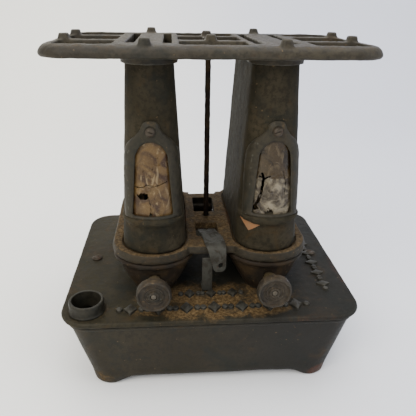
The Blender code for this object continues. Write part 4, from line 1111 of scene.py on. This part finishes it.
def make_patch():
    """The bare, bright-rusted corner under the right window's sill."""
    corners = (Vector((-21.5, 126.6)), Vector((-8.0, 125.0)), Vector((-16.0, 118.6)))
    steps = 12
    bm = bmesh.new()
    rows = []
    for j in range(steps + 1):
        share = j / steps
        one = corners[0].lerp(corners[2], share)
        two = corners[1].lerp(corners[2], share)
        rows.append([one.lerp(two, i / steps) for i in range(steps + 1)])
    layers = []
    for proud in (-0.25, 0.12):
        layers.append([[bm.verts.new(on_front(1, p.x * MM, p.y * MM, proud * MM)) for p in row]
                       for row in rows])
    for top in (0, 1):
        for j in range(steps):
            for i in range(steps):
                bm.faces.new((layers[top][j][i], layers[top][j][i + 1], layers[top][j + 1][i + 1],
                              layers[top][j + 1][i]))
    edges = [[(0, i) for i in range(steps + 1)], [(steps, i) for i in range(steps + 1)],
             [(j, 0) for j in range(steps + 1)], [(j, steps) for j in range(steps + 1)]]
    for run in edges:
        for (j, i), (k, l) in zip(run, run[1:]):
            bm.faces.new((layers[0][j][i], layers[0][k][l], layers[1][k][l], layers[1][j][i]))
    bmesh.ops.remove_doubles(bm, verts=bm.verts, dist=0.00001)
    return mesh_object("bare_patch", bm, 50)


# ---------------------------------------------------------------- grate, rod, latch, hinge

def make_grate():
    half = (GRATE_HIGH.x, GRATE_HIGH.y)
    plate_low = GRATE_TOP - 8.7 * MM
    edge = rounded([(5, 0), (1.6, 0), (0, 1.6), (0.2, 3.4), (1.2, 5.6), (3.2, 7.6), (6.2, 8.5), (9.5, 8.7)],
                   2.0, 3)
    grate = loft("grate_casting", [ring(grown(half, -inset * MM), (GRATE_RADIUS - inset) * MM,
                                        plate_low + up * MM,
                                        arc=16,
                                        along=(20, 12)) for inset, up in edge])
    collar_low = GRATE_LOW.z
    adds = []
    for name, side in SIDES:
        centre = (side * CHIMNEY_X, 0)
        outer, inner = grown(CHIMNEY_HALF_TOP, 2.9 * MM), grown(CHIMNEY_HALF_TOP, 0.6 * MM)
        levels = ((outer, collar_low), (outer, plate_low + 1 * MM), (inner, plate_low + 1 * MM),
                  (inner, collar_low))
        adds.append(loft("collar_" + name, [oval(size, z, centre) for size, z in levels], closed=True))
    join(grate, *adds)
    tools = []
    z_low, z_high = plate_low - 12 * MM, GRATE_TOP + 12 * MM

    def bay(half_x, half_y, radius, x, y):
        tools.append(loft("bay", [ring((half_x * MM, half_y * MM), radius * MM, z, (x * MM, y * MM), 6)
                                  for z in (z_low, z_high)]))

    for y, half_y in ((-43.2, 16), (0, 18.6), (43.2, 16)):
        for side in (-1, 1):
            bay(18.6, half_y, 5, side * 85.4, y)
    for y in (-43.2, 43.2):
        bay(23.2, 16, 5, 0, y)
    for side in (-1, 1):
        bay(9.6, 18.6, 3.6, side * 13.6, 0)
        for edge_side in (-1, 1):
            bay(2.9, 49, 2.4, side * CHIMNEY_X / MM + edge_side * 12.6, 0)
    cut(grate, *tools)
    boss = cylinder("boss", 6.4 * MM, 5 * MM, (ROD_AT.x, ROD_AT.y, plate_low + 1.9 * MM))
    lugs = []
    spots = [(side * 45, y) for side in (-1, 1) for y in (-63, 66)]
    spots += [(side * 102, y) for side in (-1, 1) for y in (-23, 23)] + [(0, -23), (0, 23)]
    for x, y in spots:
        levels = ((4.4, -1.6), (4.2, 0.3), (3.9, 1.4), (3.6, 3.2), (3.1, 4.0))
        lugs.append(loft("lug", [ring((size * MM, size * MM), 2.2 * MM, GRATE_TOP + rise * MM,
                                      (x * MM, y * MM), 5)
                                 for size, rise in levels]))
    join(grate, boss, *lugs)
    cut(grate, cylinder("recess", 5.4 * MM, 10 * MM, (ROD_AT.x, ROD_AT.y, plate_low + 9.4 * MM)),
        cylinder("rod_hole", 2.7 * MM, 40 * MM, (ROD_AT.x, ROD_AT.y, GRATE_TOP)))
    cast(grate, 0.7 * MM, 5)
    return uneven(grate, 0.35 * MM, 10 * MM, 6.1)


def make_rod():
    """A forged rod, pitted and a little out of true, with a flat head in the grate."""
    outline = [(0, ROD_HIGH.z), (3.2 * MM, ROD_HIGH.z - 0.2 * MM), (4.6 * MM, ROD_HIGH.z - 1.1 * MM),
               (4.6 * MM, ROD_HIGH.z - 2.2 * MM), (2.4 * MM, ROD_HIGH.z - 2.2 * MM)]
    steps = 90
    low = ROD_LOW.z
    for step in range(1, steps + 1):
        outline.append((2.4 * MM, ROD_HIGH.z - 2.2 * MM + (low - ROD_HIGH.z + 2.2 * MM) * step / steps))
    outline.append((0, low))
    rod = lathe("forged_rod", outline, (ROD_AT.x, ROD_AT.y, 0), steps=32)
    return uneven(rod, 0.35 * MM, 4 * MM, 2.6)


def make_latch():
    """The rocking clip: a fishtail in the slot, a rolled lip and a tapering leg with an eye."""
    rest = BASE_TOP + GAP + 0.6 * MM
    stations = (
        (-21.0, -4.6, -8.6, 5.6, 105), (-25.0, -3.4, -8.6, 5.8, 104), (-30.0, -1.8, -8.4, 6.0, 98),
        (-36.0, -0.3, -7.6, 6.6, 92), (-41.0, 0.0, -6.8, 8.6, 90), (-47.0, 0.0, -5.6, 10.0, 90),
        (-53.0, 0.2, -5.2, 10.6, 88), (-57.0, 0.1, -4.6, 10.8, 75), (-60.0, -1.4, -3.4, 11.0, 42),
        (-61.5, -4.2, -2.4, 11.0, 8), (-61.9, -8.0, -1.5, 11.0, 0), (-62.0, -14.0, 0.2, 11.0, 0),
        (-62.0, -18.5, 1.5, 10.6, 0), (-61.8, -21.0, 3.0, 8.6, 0))
    half = 0.55 * MM
    values = [Vector(station[:4]) for station in stations]
    angles = [station[4] for station in stations]
    fine = []
    for index in range(len(values) - 1):
        before = values[max(index - 1, 0)]
        here, there = values[index], values[index + 1]
        after = values[min(index + 2, len(values) - 1)]
        for step in range(5):
            t = step / 5
            spot = 0.5 * (2 * here + (there - before) * t + (2 * before - 5 * here + 4 * there - after)
                          * t ** 2
                          + (3 * here - before - 3 * there + after) * t ** 3)
            fine.append((spot, angles[index] + (angles[index + 1] - angles[index]) * t))
    fine.append((values[-1], angles[-1]))
    rows = []
    for (y, z, left, right), lean in fine:
        angle = math.radians(lean)
        normal = Vector((0, -math.cos(angle), math.sin(angle)))
        middle = Vector((0, y * MM, rest + z * MM))
        front, back = [], []
        for step in range(13):
            share = step / 12
            x = (left + (right - left) * share) * MM
            bow = 0.35 * MM * (1 - (2 * share - 1) ** 2) * (1 if lean < 60 else 0.3)
            front.append(middle + Vector((x, 0, 0)) + normal * (half + bow * 0.4))
            back.append(middle + Vector((x, 0, 0)) - normal * (half - bow * 0.4))
        rows.append(front + list(reversed(back)))
    clip = loft("latch_plate", rows)
    notch = plate("notch", [(-7 * MM, -13 * MM), (4 * MM, -13 * MM), (-1.5 * MM, -26 * MM)], 30 * MM,
                  (0, 0, rest))
    eye_low = rest - 17.5 * MM
    eye = loft("eye", [[Vector((x * MM, y * MM, eye_low + z * MM)) for x, z in rounded(
        [(5.2, 0), (8.4, 0.6), (8.6, 4.2), (7.4, 4.6), (5.2, 3.8)], 1.4, 5, closed=True)]
        for y in (-68, -56)])
    cut(clip, notch, eye)
    return bevel(clip, 0.25 * MM, 2)


def make_keeper():
    """A bent strap, rounded at its bends, with its upright behind the latch's leg."""
    low, high = KEEPER_LOW, KEEPER_HIGH
    sheet = 1.5 * MM
    outline = rounded([(high.y, low.z), (low.y, low.z), (low.y, high.z), (low.y + sheet, high.z),
                       (low.y + sheet, low.z + sheet), (high.y, low.z + sheet)], 1.2 * MM, 4, closed=True)
    keeper = plate("keeper_strap", outline, high.x - low.x, ((low.x + high.x) / 2, 0, 0), SIDE_VIEW)
    return bevel(keeper, 0.35 * MM, 2)


# ---------------------------------------------------------------- putting it together

def build_stove(looks):
    def put(obj, slot, body, *nodes):
        return dress(obj, looks[slot], body, nodes)

    put(make_tank(), "tank_iron", "base", "oil_tank")
    put(make_deck(), "deck_iron", "base", "tank_deck")
    dress(make_ornament(), looks["relief_iron"], "base")
    put(make_neck(), "neck_iron", "base", "filler_neck")
    put(make_keeper(), "sheet_steel", "base", "latch_keeper")
    for name, side in SIDES:
        put(screw("deck_screw_head_" + name, "deck_screw_" + name, None, 4.5 * MM, 1.8 * MM, 0.5 * side),
            "screw_steel", "base", "deck_screw_" + name)
        put(make_cup(name, side), "cup_iron", "base", "burner_cup_" + name)
        put(make_knob(name, side), "knob_iron", "knob_" + name, "wick_knob_" + name)
        wick = put(make_wick(name), "wick_cotton", "wick_strip_" + name, "wick_" + name)
        wick.data.shade_smooth()
        put(make_chimney(name, side), "chimney_iron", "upper_works", "chimney_" + name)
        put(make_frame(name, side), "frame_iron", "upper_works", "window_frame_" + name)
        put(screw("window_screw_head_" + name, "window_screw_" + name, TO_FRONT, 3.3 * MM, 2.2 * MM,
                  0.35 * side),
            "screw_steel", "upper_works", "window_screw_" + name)
        dress(make_mica(name, side), looks["mica_" + name], "upper_works", ("mica_pane_" + name,))
    dress(make_flakes("left", -1, 7, (0.30, 0.80), 5), looks["mica_left"], "upper_works")
    dress(make_flakes("right", 1, 26, (0.06, 0.52), 11), looks["mica_right"], "upper_works")
    dress(make_patch(), looks["bare_rust"], "upper_works")
    put(make_base(), "base_iron", "upper_works", "chimney_base")
    put(make_grate(), "grate_iron", "upper_works", "top_grate")
    put(make_rod(), "rod_iron", "upper_works", "tie_rod")
    put(make_latch(), "sheet_steel", "latch", "latch_clip")


def finish_nodes(looks):
    """CAD nodes whose shape is already right keep it, with softened edges and a finish."""
    slots = {part["node"]: part["material_slot"] for part in frame["record"]["subparts"]}
    for node, obj in frame["nodes"].items():
        if obj.hide_render:
            continue
        obj.data.materials.clear()
        obj.data.materials.append(looks[slots[node]])
        obj.data.shade_smooth()
        obj.data.set_sharp_from_angle(angle=math.radians(35))
        if node.startswith(("hinge_bracket", "shaft_bearing", "tie_rod_nut", "wick_tube")):
            modifier = obj.modifiers.new("edge", "BEVEL")
            modifier.width = (0.6 if node == "hinge_bracket" else 0.2) * MM
            modifier.segments = 3
            modifier.limit_method = "ANGLE"


# ---------------------------------------------------------------- stage, light and camera

def make_stage():
    """A pale floor that sweeps up behind into a wall, coloured with painted light: warm and pale on the left,
    cooler and darker on the right.
    """
    profile = [(-1.6, 0.0)] + [(0.75 + 0.6 * math.sin(math.radians(a)), 0.6 - 0.6 * math.cos(math.radians(a)))
                               for a in range(0, 91, 6)] + [(1.35, 3.0)]
    bm = bmesh.new()
    rows = [[bm.verts.new((x, y, z)) for x in (-3.0, 3.0)] for y, z in profile]
    for one, two in zip(rows, rows[1:]):
        bm.faces.new((one[0], one[1], two[1], two[0]))
    floor = mesh_object("floor", bm, 60)
    look = Look("pale_floor")
    # Painted light and shade: the colour runs from warm pale at the left to darker blue-grey at the right.
    look.coat(look.mix((0.93, 0.915, 0.84), (0.66, 0.68, 0.76), look.across(-460, 460)), 0.8)
    floor.data.materials.append(look.material)


def add_light(name, at, size, energy, colour, target=(0, 0, 0.1)):
    data = bpy.data.lights.new(name, "AREA")
    data.shape = "RECTANGLE"
    data.size, data.size_y = size
    data.energy = energy
    data.color = colour
    lamp = bpy.data.objects.new(name, data)
    bpy.context.scene.collection.objects.link(lamp)
    lamp.location = at
    lamp.rotation_euler = (Vector(target) - Vector(at)).to_track_quat("-Z", "Y").to_euler()


def make_lights():
    world = bpy.data.worlds.new("studio")
    bpy.context.scene.world = world
    world.use_nodes = True
    world.node_tree.nodes["Background"].inputs["Color"].default_value = (0.93, 0.95, 1.0, 1)
    world.node_tree.nodes["Background"].inputs["Strength"].default_value = 0.92
    add_light("key", (-0.9, -1.2, 1.5), (1.2, 1.0), 38, (1.0, 0.96, 0.87))
    add_light("top", (0.1, 0.3, 1.9), (1.8, 1.6), 40, (1.0, 0.99, 0.97))
    add_light("fill", (1.5, -0.8, 1.0), (1.0, 1.2), 12, (0.86, 0.91, 1.0))


def make_camera():
    """Stands about 0.37 m in front, a little left and above, looking down at the knobs."""
    data = bpy.data.cameras.new("camera")
    data.lens, data.sensor_width, data.clip_start = 40.33, 36.0, 0.01
    camera = bpy.data.objects.new("camera", data)
    bpy.context.scene.collection.objects.link(camera)
    yaw, pitch, roll = (math.radians(angle) for angle in (4.795, 23.815, 0.946))
    forward = Vector((math.sin(yaw) * math.cos(pitch), math.cos(yaw) * math.cos(pitch), -math.sin(pitch)))
    level = Vector((math.cos(yaw), -math.sin(yaw), 0))
    upright = level.cross(forward)
    right = math.cos(roll) * level + math.sin(roll) * upright
    up = -math.sin(roll) * level + math.cos(roll) * upright
    turn = Matrix((right, up, -forward)).transposed().to_4x4()
    camera.matrix_world = Matrix.Translation((-0.0295, -0.371, 0.2754)) @ turn
    bpy.context.scene.camera = camera


make_camera()
make_stage()
make_lights()
LOOKS = make_looks()
LOOKS["gasket_fibre"] = fibre_look()
LOOKS["wick_cotton"] = cotton_look()
LOOKS["mica_left"] = mica_look("mica_left", (0.026, 0.011, 0.003), (0.080, 0.046, 0.014),
                               (0.22, 0.165, 0.090), 0.50)
LOOKS["mica_right"] = mica_look("mica_right", (0.010, 0.006, 0.002), (0.030, 0.019, 0.007),
                                (0.12, 0.09, 0.05), 0.35,
                                (162.0, (0.165, 0.138, 0.092), (0.022, 0.015, 0.008)))
LOOKS["bare_rust"] = patch_look()
build_stove(LOOKS)
finish_nodes(LOOKS)
